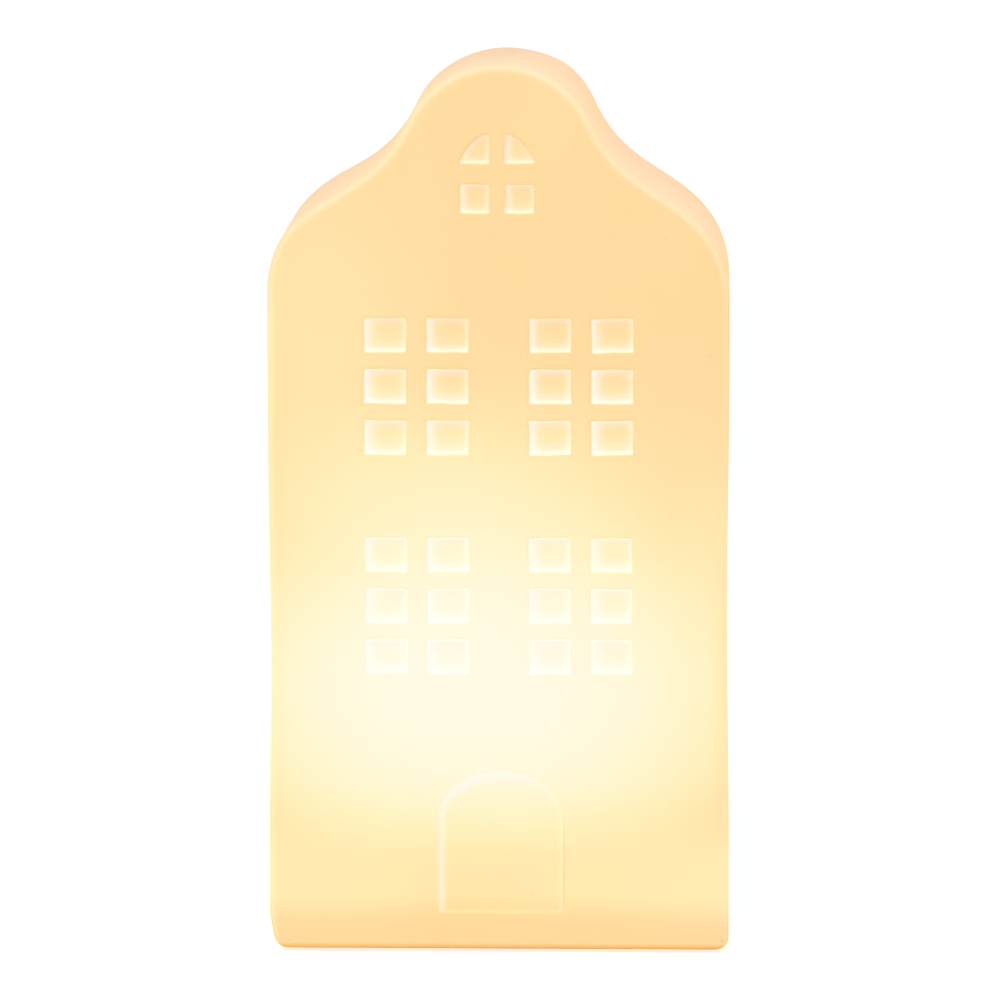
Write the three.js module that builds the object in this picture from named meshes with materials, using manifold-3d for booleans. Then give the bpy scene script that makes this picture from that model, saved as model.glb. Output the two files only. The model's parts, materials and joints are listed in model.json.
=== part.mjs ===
// House night light: a hollow porcelain gable house that stands over a battery lamp unit.
// Millimetres, +Z up. The origin is on the floor under the middle of the house, whose front
// looks along -Y. The lamp unit is pushed up through a round hole in the house's bottom.

import * as THREE from 'three';
import { mergeVertices } from 'three/addons/utils/BufferGeometryUtils.js';
import Module from 'manifold-3d';

const wasm = await Module();
wasm.setup();

const degree = Math.PI / 180;

// Porcelain house, overall
const houseWidth = 124;
const houseDepth = 80;
const houseHeight = 240; // from the floor to the top of the crest
const wall = 3;
const bottomWall = 4;
const edgeRound = 2.4; // rounding of the front and back edges
const bottomCorner = 3.5; // lower corners of the front outline

// Gable outline
const crestRadius = 27.2;
const crestSweep = 64.5 * degree; // half angle of the round crest
const crestHandle = 17.8; // how far the neck follows the crest's direction
const shoulderRadius = 29;
const shoulderDrop = 63; // from the crest's top to the centre of the shoulder's arc
const shoulderSlope = 43 * degree; // slope where the shoulder's arc meets the neck
const shoulderHandle = 13.1;

// Front openings, all of them shallow blind recesses
const recessDepth = 1;
const paneWidth = 11;
const paneHeight = 9.35;
const paneCorner = 0.8;
const paneColumnPitch = 16.7;
const paneRowPitch = 13.75;
const paneRows = 3;
const windowSideMargin = 26.05; // from the side of the house to the nearest pane
const upperWindowDrop = 86.2; // from the crest's top to the window's middle
const windowPitch = 59.15; // from the upper windows to the lower ones
const atticPane = 7.4;
const atticColumnGap = 4.6;
const atticRowGap = 5.9;
const atticDrop = 32.2; // from the crest's top to the top of the lower attic panes
const atticShift = -0.45; // the attic window sits a little left of the middle
const doorWidth = 33.3;
const doorShift = 0.5; // the door sits a little right of the middle
const doorSill = 11.2;
const doorSpring = 37.2; // where the arch begins
const doorRise = 12.1;

// Pads and feet that stand on the floor
const padHeight = 0.8;
const padRadius = 4;
const padInset = 10; // from the sides of the house to a pad's centre
const footHeight = 1.6;
const footRadius = 3.5;
const footRing = 24.5; // radius on which the lamp unit's feet stand

// Lamp unit, base
const unitRadius = 30.7;
const gripLip = 1; // how far the grip ring stands out of the base
const gripGap = 0.3; // between the grip ring and the house's bottom hole
const plateThickness = 2.4;
const flangeThickness = 0.9;
const flangeStep = 1.4; // depth of the groove that holds the grip ring
const ringPlay = 0.1;
const cupHeight = 6.9;
const cupWall = 2;
const cupTop = 1.8;

// Battery column
const cellRadius = 5.25;
const cellLength = 44.5;
const cellNubRadius = 1.9;
const cellNubHeight = 1.2;
const cellPitch = 11.5;
const cellPlay = 0.35; // round a cell in its bay
const cellCount = 3;
const bayFloor = 1.8;
const columnWall = 2;
const columnTopWall = 3.2;
const springHeight = 5;
const springBase = 3.6;
const springTip = 2.3;
const springWire = 0.5;
const springCurls = 4;
const contactThickness = 0.5;
const contactWidth = 9;
const seatGap = 0.2; // between pieces that press on each other

// Battery cover
const coverThickness = 1.8;
const coverSkirt = 1.2;
const coverSkirtReach = 7.5; // how far the skirts reach forward past the column's back
const coverGap = 0.3;
const coverRibs = 5;
const coverRibPitch = 3;
const coverRibHeight = 0.5;
const coverSpacer = 1.2; // ribs inside the cover that part the cells
const coverSpacerReach = 2.4;

// Lamp head
const dishRadius = 21.5;
const dishThickness = 1.6;
const dishRimHeight = 2;
const domeRadius = 20;
const domeWall = 1.4;
const domeSkirt = 6;
const domeHeight = 22;
const boardRadius = 15;
const boardThickness = 1.2;
const ledCount = 3;
const ledRing = 7.5;
const ledLength = 3.5;
const ledWidth = 2.8;
const ledHeight = 1.2;
const resistorLength = 3.2;
const resistorWidth = 1.6;
const resistorHeight = 0.6;

// Screws
const baseScrew = { radius: 1.25, length: 5.2, headRadius: 2.5, headHeight: 1.2 };
const boardScrew = { radius: 0.9, length: 4.4, headRadius: 1.7, headHeight: 1 };
const screwPlay = 0.15;
const headPlay = 0.3;
const bossRadius = 3;
const baseScrewRing = 24;
const boardScrewSpread = 11.5;
const crossWidth = 0.6;
const crossDepth = 0.5;

// Slide switch
const switchLength = 9;
const switchWidth = 4.2;
const switchHeight = 4.2;
const switchPlace = 15; // in front of the middle
const knobLength = 4;
const knobWidth = 2.6;
const knobTravel = 3;
const knobPlay = 0.4;
const knobClearOfFloor = 0.7;

// Wires
const wireRadius = 0.6;
const wireHolePlay = 0.3;
const wireSides = 8;

// Facets
const roundFacets = 40;
const smallFacets = 20;
const arcSteps = 10;
const bevelSteps = 4;

// Heights, from the floor up
const plateBase = footHeight;
const cupBase = plateBase + plateThickness;
const cupCeiling = cupBase + cupHeight;
const bayBase = cupBase + bayFloor;
const bayLength = 2 * contactThickness + springHeight + cellLength + 3 * seatGap;
const bayCeiling = bayBase + bayLength;
const columnTop = bayCeiling + columnTopWall;
const dishTop = columnTop + dishThickness;
const boardTop = dishTop + boardThickness;
const shellBase = padHeight;
const houseHole = unitRadius + gripLip + gripGap;
const bayHalfWidth = (cellPitch * (cellCount - 1)) / 2 + cellRadius + cellPlay;
const columnHalfWidth = bayHalfWidth + columnWall;
const bayHalfDepth = cellRadius + cellPlay;
const cellX = (index) => (index - (cellCount - 1) / 2) * cellPitch;
const wireGapX = cellPitch / 2;
const wireGapY = -(bayHalfDepth - 2 * wireRadius);

// Solids are joined and cut as closed meshes whose corners are shared.
function toSolid(geometry) {
  const bare = geometry.clone();
  bare.deleteAttribute('normal');
  bare.deleteAttribute('uv');
  const merged = mergeVertices(bare, 1e-4);
  const mesh = new wasm.Mesh({
    numProp: 3,
    vertProperties: new Float32Array(merged.attributes.position.array),
    triVerts: new Uint32Array(merged.index.array),
  });
  return new wasm.Manifold(mesh);
}

function toGeometry(solid) {
  const mesh = solid.getMesh();
  const geometry = new THREE.BufferGeometry();
  geometry.setAttribute('position', new THREE.BufferAttribute(mesh.vertProperties, mesh.numProp));
  geometry.setIndex(new THREE.BufferAttribute(mesh.triVerts, 1));
  return geometry;
}

const join = (first, ...others) => others.reduce((sum, other) => sum.add(other), first);
const cut = (first, ...others) => others.reduce((rest, other) => rest.subtract(other), first);

// A box from its two corners.
function boxGeometry([x0, y0, z0], [x1, y1, z1]) {
  const geometry = new THREE.BoxGeometry(x1 - x0, y1 - y0, z1 - z0);
  return geometry.translate((x0 + x1) / 2, (y0 + y1) / 2, (z0 + z1) / 2);
}

// An upright cylinder from z0 to z1 round (x, y).
function cylinderGeometry(radius, z0, z1, x = 0, y = 0, facets = smallFacets) {
  const geometry = new THREE.CylinderGeometry(radius, radius, z1 - z0, facets);
  return geometry.rotateX(90 * degree).translate(x, y, (z0 + z1) / 2);
}

const box = (low, high) => toSolid(boxGeometry(low, high));
const cylinder = (...sizes) => toSolid(cylinderGeometry(...sizes));

// A profile of [radius, height] pairs turned round the Z axis.
function turned(profile, facets = roundFacets) {
  const points = profile.map(([radius, height]) => new THREE.Vector2(radius, height));
  return new THREE.LatheGeometry(points, facets).rotateX(90 * degree);
}

// A flat ring or a stepped one: a profile that closes on itself.
function turnedRing(profile, facets = roundFacets) {
  return turned([...profile, profile[0]], facets);
}

// An outline in the XZ plane, made solid from yFront to yBack.
function standing(points, yFront, yBack, round = 0) {
  const shape = new THREE.Shape(points);
  const geometry = new THREE.ExtrudeGeometry(shape, {
    depth: yBack - yFront - 2 * round,
    bevelEnabled: round > 0,
    bevelThickness: round,
    bevelSize: round,
    bevelOffset: -round,
    bevelSegments: bevelSteps,
    curveSegments: arcSteps,
  });
  return geometry.rotateX(90 * degree).translate(0, yBack - round, 0);
}

// A closed tube of even radius along a list of points, with flat ends.
function tube(points, radius, sides) {
  const positions = [];
  const indices = [];
  const tangents = points.map((point, i) => {
    const before = points[Math.max(i - 1, 0)];
    const after = points[Math.min(i + 1, points.length - 1)];
    return after.clone().sub(before).normalize();
  });
  let side = new THREE.Vector3(1, 0, 0);
  if (Math.abs(side.dot(tangents[0])) > 0.9) side = new THREE.Vector3(0, 1, 0);
  points.forEach((point, i) => {
    side = side.clone().addScaledVector(tangents[i], -side.dot(tangents[i])).normalize();
    const other = tangents[i].clone().cross(side);
    for (let k = 0; k < sides; k++) {
      const angle = (2 * Math.PI * k) / sides;
      const corner = point.clone();
      corner.addScaledVector(side, radius * Math.cos(angle));
      corner.addScaledVector(other, radius * Math.sin(angle));
      positions.push(...corner.toArray());
    }
  });
  const last = (points.length - 1) * sides;
  for (let i = 0; i < points.length - 1; i++) {
    for (let k = 0; k < sides; k++) {
      const a = i * sides + k;
      const b = i * sides + ((k + 1) % sides);
      indices.push(a, b, a + sides, b, b + sides, a + sides);
    }
  }
  for (let k = 1; k < sides - 1; k++) {
    indices.push(0, k + 1, k);
    indices.push(last, last + k, last + k + 1);
  }
  const geometry = new THREE.BufferGeometry();
  geometry.setAttribute('position', new THREE.Float32BufferAttribute(positions, 3));
  geometry.setIndex(indices);
  return geometry;
}

// Materials, one for each piece's stuff
const stuff = (color, roughness, metalness = 0) => () =>
  new THREE.MeshStandardMaterial({ color, roughness, metalness });
const porcelain = stuff(0xf4dcb8, 0.6);
const whitePlastic = stuff(0xe9e7e2, 0.5);
const darkPlastic = stuff(0x2b2b2d, 0.5);
const silicone = stuff(0xd9d6cf, 0.7);
const rubber = stuff(0x3a3a3a, 0.85);
const steel = stuff(0xb8babd, 0.35, 1);
const springSteel = stuff(0xc9cbce, 0.3, 1);
const cellSleeve = stuff(0x3d5a4a, 0.4, 0.3);
const frosted = stuff(0xffe9c4, 0.55);
const boardGreen = stuff(0xf2f2ee, 0.6);
const ledYellow = stuff(0xffd77a, 0.4);
const redSleeve = stuff(0xb3322a, 0.5);
const blackSleeve = stuff(0x1d1d1f, 0.5);

const houseGroup = new THREE.Group();
const unitGroup = new THREE.Group();
const coverGroup = new THREE.Group();
const knobGroup = new THREE.Group();

function place(group, name, geometry, material, position = [0, 0, 0], turn = [0, 0, 0]) {
  const mesh = new THREE.Mesh(geometry, material());
  mesh.name = name;
  mesh.position.set(...position);
  mesh.rotation.set(...turn);
  group.add(mesh);
  return mesh;
}

// House shell

// Half of the gable above the shoulders, from the right side up to the crest's top
function gableCurves() {
  const shoulderX = houseWidth / 2 - shoulderRadius;
  const shoulderZ = houseHeight - shoulderDrop;
  const crestZ = houseHeight - crestRadius;
  const right = 90 * degree;
  const shoulder = new THREE.EllipseCurve(
    shoulderX, shoulderZ, shoulderRadius, shoulderRadius, 0, right - shoulderSlope);
  const crest = new THREE.EllipseCurve(
    0, crestZ, crestRadius, crestRadius, right - crestSweep, right);
  const from = shoulder.getPoint(1);
  const to = crest.getPoint(0);
  const neck = new THREE.CubicBezierCurve(
    from,
    from.clone().addScaledVector(shoulder.getTangent(1), shoulderHandle),
    to.clone().addScaledVector(crest.getTangent(0), -crestHandle),
    to);
  return [shoulder, neck, crest];
}

// Points of a curve, moved inwards: the inside is on the left of its run.
function inwardPoints(curve, steps, inset) {
  return Array.from({ length: steps + 1 }, (_, i) => {
    const tangent = curve.getTangent(i / steps);
    const inward = new THREE.Vector2(-tangent.y, tangent.x);
    return curve.getPoint(i / steps).addScaledVector(inward, inset);
  });
}

// The whole front outline, moved inwards by inset above a given bottom height
function houseOutline(inset, bottom, corner) {
  const cornerX = houseWidth / 2 - inset - corner;
  const cornerArc = new THREE.EllipseCurve(
    cornerX, bottom + corner, corner, corner, -90 * degree, 0);
  const half = inwardPoints(cornerArc, bevelSteps, 0);
  for (const curve of gableCurves()) half.push(...inwardPoints(curve, arcSteps, inset));
  const right = half.filter((point, i) => i === 0 || point.distanceTo(half[i - 1]) > 0.01);
  right[right.length - 1].x = 0;
  const left = right.slice(0, -1).reverse().map((point) => new THREE.Vector2(-point.x, point.y));
  return [...right, ...left];
}

function roundedPane(x, z, width, height, corner) {
  const shape = new THREE.Shape();
  const right = x + width / 2 - corner;
  const left = x - width / 2 + corner;
  const low = z - height / 2 + corner;
  const high = z + height / 2 - corner;
  shape.absarc(right, low, corner, -90 * degree, 0, false);
  shape.absarc(right, high, corner, 0, 90 * degree, false);
  shape.absarc(left, high, corner, 90 * degree, 180 * degree, false);
  shape.absarc(left, low, corner, 180 * degree, 270 * degree, false);
  return shape.getPoints(1);
}

// A quarter of a disc whose square corner is at (x, z); side is 1 to the right and -1 to the left.
function quarterPane(x, z, radius, side) {
  const start = side > 0 ? 0 : 90 * degree;
  const arc = new THREE.EllipseCurve(x, z, radius, radius, start, start + 90 * degree);
  return [new THREE.Vector2(x, z), ...arc.getPoints(bevelSteps * 2)];
}

function doorOutline() {
  const half = doorWidth / 2;
  const arch = new THREE.EllipseCurve(doorShift, doorSpring, half, doorRise, 0, 180 * degree);
  const feet = [-half, half].map((x) => new THREE.Vector2(doorShift + x, doorSill));
  return [...feet, ...arch.getPoints(16)];
}

function recessOutlines() {
  const outlines = [doorOutline()];
  const windowX = houseWidth / 2 - windowSideMargin - (paneColumnPitch + paneWidth) / 2;
  const upperWindow = houseHeight - upperWindowDrop;
  for (const middle of [upperWindow, upperWindow - windowPitch]) {
    for (const side of [-1, 1]) {
      for (const column of [-0.5, 0.5]) {
        for (let row = 0; row < paneRows; row++) {
          const x = side * windowX + column * paneColumnPitch;
          const z = middle + (row - (paneRows - 1) / 2) * paneRowPitch;
          outlines.push(roundedPane(x, z, paneWidth, paneHeight, paneCorner));
        }
      }
    }
  }
  const atticSill = houseHeight - atticDrop - atticPane; // foot of the lower attic panes
  const atticUpper = atticSill + atticPane + atticRowGap;
  for (const side of [-1, 1]) {
    const inner = atticShift + (side * atticColumnGap) / 2;
    const middle = inner + (side * atticPane) / 2;
    const square = roundedPane(middle, atticSill + atticPane / 2, atticPane, atticPane, paneCorner);
    outlines.push(square);
    outlines.push(quarterPane(inner, atticUpper, atticPane, side));
  }
  return outlines;
}

function houseShell() {
  const front = -houseDepth / 2;
  const back = houseDepth / 2;
  const outer = houseOutline(0, shellBase, bottomCorner);
  const innerCorner = Math.max(bottomCorner - wall, 0.5);
  const inner = houseOutline(wall, shellBase + bottomWall, innerCorner);
  const body = toSolid(standing(outer, front, back, edgeRound));
  const hollow = toSolid(standing(inner, front + wall, back - wall));
  const hole = cylinder(houseHole, shellBase - 1, shellBase + bottomWall + 1, 0, 0, roundFacets);
  const recesses = recessOutlines().map(
    (outline) => toSolid(standing(outline, front - 1, front + recessDepth)));
  return cut(body, hollow, hole, ...recesses);
}

place(houseGroup, 'house_shell', toGeometry(houseShell()), porcelain);

// House pads, one near each lower corner
let padNumber = 1;
for (const sideX of [-1, 1]) {
  for (const sideY of [-1, 1]) {
    const x = sideX * (houseWidth / 2 - padInset);
    const y = sideY * (houseDepth / 2 - padInset);
    const pad = cylinderGeometry(padRadius, 0, padHeight);
    place(houseGroup, `house_pad_${padNumber}`, pad, silicone, [x, y, 0]);
    padNumber += 1;
  }
}

// Lamp unit base

const ringAround = (radius, count, offset) => Array.from({ length: count }, (_, i) => {
  const angle = offset + (2 * Math.PI * i) / count;
  return [radius * Math.cos(angle), radius * Math.sin(angle)];
});
const baseScrewPlaces = ringAround(baseScrewRing, 4, 45 * degree);
const footPlaces = ringAround(footRing, 4, 0);
const headSeat = plateBase + baseScrew.headHeight + seatGap;
const knobSlotHalf = knobLength / 2 + knobTravel / 2 + knobPlay;

function bottomPlate() {
  const flangeTop = plateBase + flangeThickness;
  const blank = toSolid(turned([
    [0, plateBase], [unitRadius, plateBase], [unitRadius, flangeTop],
    [unitRadius - flangeStep, flangeTop], [unitRadius - flangeStep, cupBase], [0, cupBase]]));
  const screwHoles = baseScrewPlaces.flatMap(([x, y]) => [
    cylinder(baseScrew.radius + screwPlay, plateBase - 1, cupBase + 1, x, y),
    cylinder(baseScrew.headRadius + headPlay, plateBase - 1, headSeat, x, y)]);
  const slotHalfWidth = knobWidth / 2 + knobPlay;
  const slot = box(
    [-knobSlotHalf, -switchPlace - slotHalfWidth, plateBase - 1],
    [knobSlotHalf, -switchPlace + slotHalfWidth, cupBase + 1]);
  return cut(blank, ...screwHoles, slot);
}

place(unitGroup, 'bottom_plate', toGeometry(bottomPlate()), darkPlastic);

const ringBase = plateBase + flangeThickness + ringPlay;
const ringTop = cupBase - ringPlay;
const ringInner = unitRadius - flangeStep + gripGap;
const ringOuter = houseHole - gripGap;
const ringRound = (ringTop - ringBase) / 4;
const gripRing = turnedRing([
  [ringInner, ringBase], [ringOuter - ringRound, ringBase], [ringOuter, ringBase + ringRound],
  [ringOuter, ringTop - ringRound], [ringOuter - ringRound, ringTop], [ringInner, ringTop]]);
place(unitGroup, 'grip_ring', gripRing, silicone);

footPlaces.forEach(([x, y], i) => {
  const foot = cylinderGeometry(footRadius, 0, footHeight);
  place(unitGroup, `unit_foot_${i + 1}`, foot, rubber, [x, y, 0]);
});

// A screw that points up, its head's underside at z = 0, with a cross recess
function screwGeometry({ radius, length, headRadius, headHeight }) {
  const blank = toSolid(turned([
    [0, -headHeight], [headRadius - 0.3, -headHeight], [headRadius, -headHeight + 0.3],
    [headRadius, 0], [radius, 0], [radius, length - radius], [0, length]], smallFacets));
  const arm = headRadius * 0.6;
  const half = crossWidth / 2;
  const low = -headHeight - 1;
  const high = -headHeight + crossDepth;
  return toGeometry(cut(
    blank,
    box([-arm, -half, low], [arm, half, high]),
    box([-half, -arm, low], [half, arm, high])));
}

baseScrewPlaces.forEach(([x, y], i) => {
  const height = headSeat - seatGap / 2;
  place(unitGroup, `base_screw_${i + 1}`, screwGeometry(baseScrew), steel, [x, y, height]);
});

// Housing: the base's cup with its screw bosses, and the upright battery column in one moulding

const columnFront = -bayHalfDepth - columnWall;
const columnBack = bayHalfDepth;
const wireHole = wireRadius + wireHolePlay;
const switchTop = cupBase + switchHeight;
const wireSeat = bayBase + contactThickness + wireRadius + seatGap; // a wire lying on a contact
const wireLevel = wireSeat + wireRadius; // the wires' way through the column's front wall
const positiveWire = [cellX(0) + contactWidth / 3, -contactWidth / 3];
const boardScrewPlaces = [-1, 1].map((side) => [side * boardScrewSpread, bayHalfDepth / 2]);

function unitHousing() {
  const cupInner = unitRadius - cupWall;
  const cup = toSolid(turned([
    [0, cupCeiling - cupTop], [cupInner, cupCeiling - cupTop], [cupInner, cupBase],
    [unitRadius, cupBase], [unitRadius, cupCeiling - 1], [unitRadius - 1, cupCeiling],
    [0, cupCeiling]]));
  const column = box(
    [-columnHalfWidth, columnFront, cupBase], [columnHalfWidth, columnBack, columnTop]);
  const bosses = baseScrewPlaces.map(
    ([x, y]) => cylinder(bossRadius, cupBase, cupCeiling - 0.5, x, y));
  const bay = box(
    [-bayHalfWidth, -bayHalfDepth, bayBase], [bayHalfWidth, bayHalfDepth + 1, bayCeiling]);
  const screwTip = headSeat + baseScrew.length + seatGap;
  const screwHoles = baseScrewPlaces.map(
    ([x, y]) => cylinder(baseScrew.radius + screwPlay, cupBase - 1, screwTip, x, y));
  const boardHoleBase = boardTop - boardScrew.length - seatGap;
  const boardHoles = boardScrewPlaces.map(
    ([x, y]) => cylinder(boardScrew.radius + screwPlay, boardHoleBase, columnTop + 1, x, y));
  const risers = [[-wireGapX, wireGapY], positiveWire].map(
    ([x, y]) => cylinder(wireHole, bayCeiling - 1, columnTop + 1, x, y));
  const passages = [-wireGapX, wireGapX].map((x) => {
    const bore = new THREE.CylinderGeometry(wireHole, wireHole, columnWall + 2, smallFacets);
    return toSolid(bore.translate(x, -bayHalfDepth - columnWall / 2, wireLevel));
  });
  const whole = join(cup, column, ...bosses);
  return cut(whole, bay, ...screwHoles, ...boardHoles, ...risers, ...passages);
}

place(unitGroup, 'unit_housing', toGeometry(unitHousing()), whitePlastic);

// Battery cells stand upright, the middle one upside down, each on its spring's end

function cellGeometry() {
  const shoulder = cellLength - cellNubHeight;
  return turned([
    [0, 0], [cellRadius - 0.4, 0], [cellRadius, 0.4], [cellRadius, shoulder - 0.4],
    [cellRadius - 0.4, shoulder], [cellNubRadius, shoulder], [cellNubRadius, cellLength],
    [0, cellLength]], 24);
}

const springFoot = bayBase + contactThickness + seatGap;
const cellFoot = springFoot + springHeight + seatGap;
const springRoof = bayCeiling - contactThickness - seatGap;
const cellRoof = springRoof - springHeight - seatGap;
for (let i = 0; i < cellCount; i++) {
  const upsideDown = i % 2 === 1;
  const height = upsideDown ? cellRoof : cellFoot;
  const turn = [upsideDown ? 180 * degree : 0, 0, 0];
  place(unitGroup, `cell_${i + 1}`, cellGeometry(), cellSleeve, [cellX(i), 0, height], turn);
}

// A tapering coil spring on z = 0: one unbroken helix between two straight ends
function springPath() {
  const stepsPerCurl = 8;
  const climb = springHeight - 2 * springWire;
  const points = [new THREE.Vector3(springBase, 0, 0)];
  for (let i = 0; i <= springCurls * stepsPerCurl; i++) {
    const share = i / (springCurls * stepsPerCurl);
    const radius = springBase + (springTip - springBase) * share;
    const angle = 2 * Math.PI * springCurls * share;
    points.push(new THREE.Vector3(
      radius * Math.cos(angle), radius * Math.sin(angle), springWire + climb * share));
  }
  points.push(new THREE.Vector3(springTip, 0, springHeight));
  return points;
}

function leastGap(points, wire) {
  let least = Infinity;
  points.forEach((a, i) => points.slice(i + 5).forEach((b) => {
    least = Math.min(least, a.distanceTo(b) - wire);
  }));
  return least;
}

console.log('spring: least gap between curls', leastGap(springPath(), springWire).toFixed(2), 'mm');
for (let i = 0; i < cellCount; i++) {
  const onTop = i % 2 === 1;
  const height = onTop ? springRoof : springFoot;
  const turn = [onTop ? 180 * degree : 0, 0, 0];
  const spring = tube(springPath(), springWire / 2, 5);
  place(unitGroup, `cell_spring_${i + 1}`, spring, springSteel, [cellX(i), 0, height], turn);
}

// Contact plates at the ends of the bay: one for a single cell or one bridge for two
function contactPlate(firstCell, lastCell) {
  const half = contactWidth / 2;
  return boxGeometry(
    [cellX(firstCell) - half, -half, 0], [cellX(lastCell) + half, half, contactThickness]);
}

const contactRoof = bayCeiling - contactThickness;
place(unitGroup, 'contact_top_single', contactPlate(0, 0), steel, [0, 0, contactRoof]);
place(unitGroup, 'contact_top_bridge', contactPlate(1, 2), steel, [0, 0, contactRoof]);
place(unitGroup, 'contact_bottom_bridge', contactPlate(0, 1), steel, [0, 0, bayBase]);
place(unitGroup, 'contact_bottom_single', contactPlate(2, 2), steel, [0, 0, bayBase]);

// Lamp head: reflector dish, LED board and frosted dome

function reflectorDish() {
  const rimInner = domeRadius + seatGap;
  const dish = toSolid(turned([
    [0, columnTop], [dishRadius, columnTop], [dishRadius, dishTop + dishRimHeight],
    [rimInner, dishTop + dishRimHeight], [rimInner, dishTop], [0, dishTop]]));
  const screwHoles = boardScrewPlaces.map(
    ([x, y]) => cylinder(boardScrew.radius + screwPlay, columnTop - 1, dishTop + 1, x, y));
  const risers = [[-wireGapX, wireGapY], positiveWire].map(
    ([x, y]) => cylinder(wireHole, columnTop - 1, dishTop + 1, x, y));
  return cut(dish, ...screwHoles, ...risers);
}

place(unitGroup, 'reflector_dish', toGeometry(reflectorDish()), whitePlastic);

function ledBoard() {
  const disc = cylinder(boardRadius, dishTop, boardTop, 0, 0, roundFacets);
  const holes = boardScrewPlaces.map(
    ([x, y]) => cylinder(boardScrew.radius + screwPlay, dishTop - 1, boardTop + 1, x, y));
  return cut(disc, ...holes);
}

place(unitGroup, 'led_board', toGeometry(ledBoard()), boardGreen);

boardScrewPlaces.forEach(([x, y], i) => {
  const place3 = [x, y, boardTop + seatGap / 2];
  const turn = [180 * degree, 0, 0];
  place(unitGroup, `board_screw_${i + 1}`, screwGeometry(boardScrew), steel, place3, turn);
});

ringAround(ledRing, ledCount, 90 * degree).forEach(([x, y], i) => {
  const led = boxGeometry(
    [-ledLength / 2, -ledWidth / 2, 0], [ledLength / 2, ledWidth / 2, ledHeight]);
  place(unitGroup, `led_${i + 1}`, led, ledYellow, [x, y, boardTop]);
});

const resistor = boxGeometry(
  [-resistorLength / 2, -resistorWidth / 2, 0],
  [resistorLength / 2, resistorWidth / 2, resistorHeight]);
place(unitGroup, 'resistor', resistor, darkPlastic, [0, 0, boardTop]);

// The dome's profile runs down its outside and up its inside.
function domeGeometry() {
  const steps = 10;
  const outer = [];
  const inner = [];
  for (let i = 0; i <= steps; i++) {
    const angle = (90 * degree * i) / steps;
    outer.push([
      domeRadius * Math.sin(angle), domeSkirt + (domeHeight - domeSkirt) * Math.cos(angle)]);
    inner.push([
      (domeRadius - domeWall) * Math.sin(angle),
      domeSkirt + (domeHeight - domeSkirt - domeWall) * Math.cos(angle)]);
  }
  const rim = [[domeRadius, 0], [domeRadius - domeWall, 0]];
  return turned([...outer, ...rim, ...inner.reverse()].reverse());
}

place(unitGroup, 'diffuser_dome', domeGeometry(), frosted, [0, 0, dishTop]);

// Slide switch over its slot in the bottom plate, and its knob

const switchBody = boxGeometry(
  [-switchLength / 2, -switchWidth / 2, 0], [switchLength / 2, switchWidth / 2, switchHeight]);
place(unitGroup, 'switch_body', switchBody, steel, [0, -switchPlace, cupBase]);

const knobTop = cupBase - seatGap;
const knob = boxGeometry(
  [-knobLength / 2, -knobWidth / 2, knobClearOfFloor], [knobLength / 2, knobWidth / 2, knobTop]);
place(knobGroup, 'switch_knob', knob, darkPlastic, [knobTravel / 2, -switchPlace, 0]);

// Wires, each one smooth run through its holes
function wireGeometry(route, steps) {
  const curve = new THREE.CatmullRomCurve3(route.map((point) => new THREE.Vector3(...point)));
  return tube(curve.getSpacedPoints(steps), wireRadius, wireSides);
}

const boardUnderside = dishTop - seatGap;
const [positiveX, positiveY] = positiveWire;
place(unitGroup, 'wire_positive', wireGeometry([
  [positiveX, positiveY, bayCeiling + seatGap], [positiveX, positiveY, boardUnderside]], 2), redSleeve);

const terminalY = -switchPlace + switchWidth / 2 + wireRadius / 2;
const terminalZ = switchTop - 2 * wireRadius;
const terminalX = switchLength / 4;
place(unitGroup, 'wire_switch', wireGeometry([
  [terminalX, terminalY, terminalZ],
  [wireGapX * 0.75, (terminalY + columnFront) / 2, (terminalZ + wireLevel) / 2],
  [wireGapX, columnFront - wireRadius, wireLevel],
  [wireGapX, -bayHalfDepth, wireLevel],
  [cellX(2) - contactWidth / 3, -contactWidth / 2 + wireRadius, wireSeat]], 14), blackSleeve);

place(unitGroup, 'wire_board', wireGeometry([
  [-terminalX, terminalY, terminalZ],
  [-wireGapX * 0.75, (terminalY + columnFront) / 2, (terminalZ + wireLevel) / 2],
  [-wireGapX, columnFront - wireRadius, wireLevel],
  [-wireGapX, -bayHalfDepth, wireLevel],
  [-wireGapX, wireGapY, wireLevel + 2 * wireRadius],
  [-wireGapX, wireGapY, (wireLevel + bayCeiling) / 2],
  [-wireGapX, wireGapY, bayCeiling],
  [-wireGapX, wireGapY, boardUnderside]], 40), blackSleeve);

// Battery cover: a channel that snaps on from behind, with finger ribs and cell spacers

function batteryCover() {
  const inner = columnBack + coverGap;
  const outer = inner + coverThickness;
  const low = cupCeiling + coverGap;
  const high = columnTop - coverGap;
  const skirtInner = columnHalfWidth + coverGap;
  const skirtOuter = skirtInner + coverSkirt;
  const back = box([-skirtOuter, inner, low], [skirtOuter, outer, high]);
  const skirts = [-1, 1].map((side) => {
    const near = Math.min(side * skirtInner, side * skirtOuter);
    return box([near, inner - coverSkirtReach, low], [near + coverSkirt, outer, high]);
  });
  const spacers = [-1, 1].map((side) => {
    const middle = (side * cellPitch) / 2;
    return box(
      [middle - coverSpacer / 2, inner - coverSpacerReach, low],
      [middle + coverSpacer / 2, outer, contactRoof - coverGap]);
  });
  const ribs = Array.from({ length: coverRibs }, (_, i) => {
    const z = high - (i + 2) * coverRibPitch;
    const half = coverRibPitch / 4;
    return box([-wireGapX, inner, z - half], [wireGapX, outer + coverRibHeight, z + half]);
  });
  return join(back, ...skirts, ...spacers, ...ribs);
}

place(coverGroup, 'battery_cover', toGeometry(batteryCover()), whitePlastic);

const nightLight = new THREE.Group();
unitGroup.add(coverGroup, knobGroup);
nightLight.add(unitGroup, houseGroup);

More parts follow.
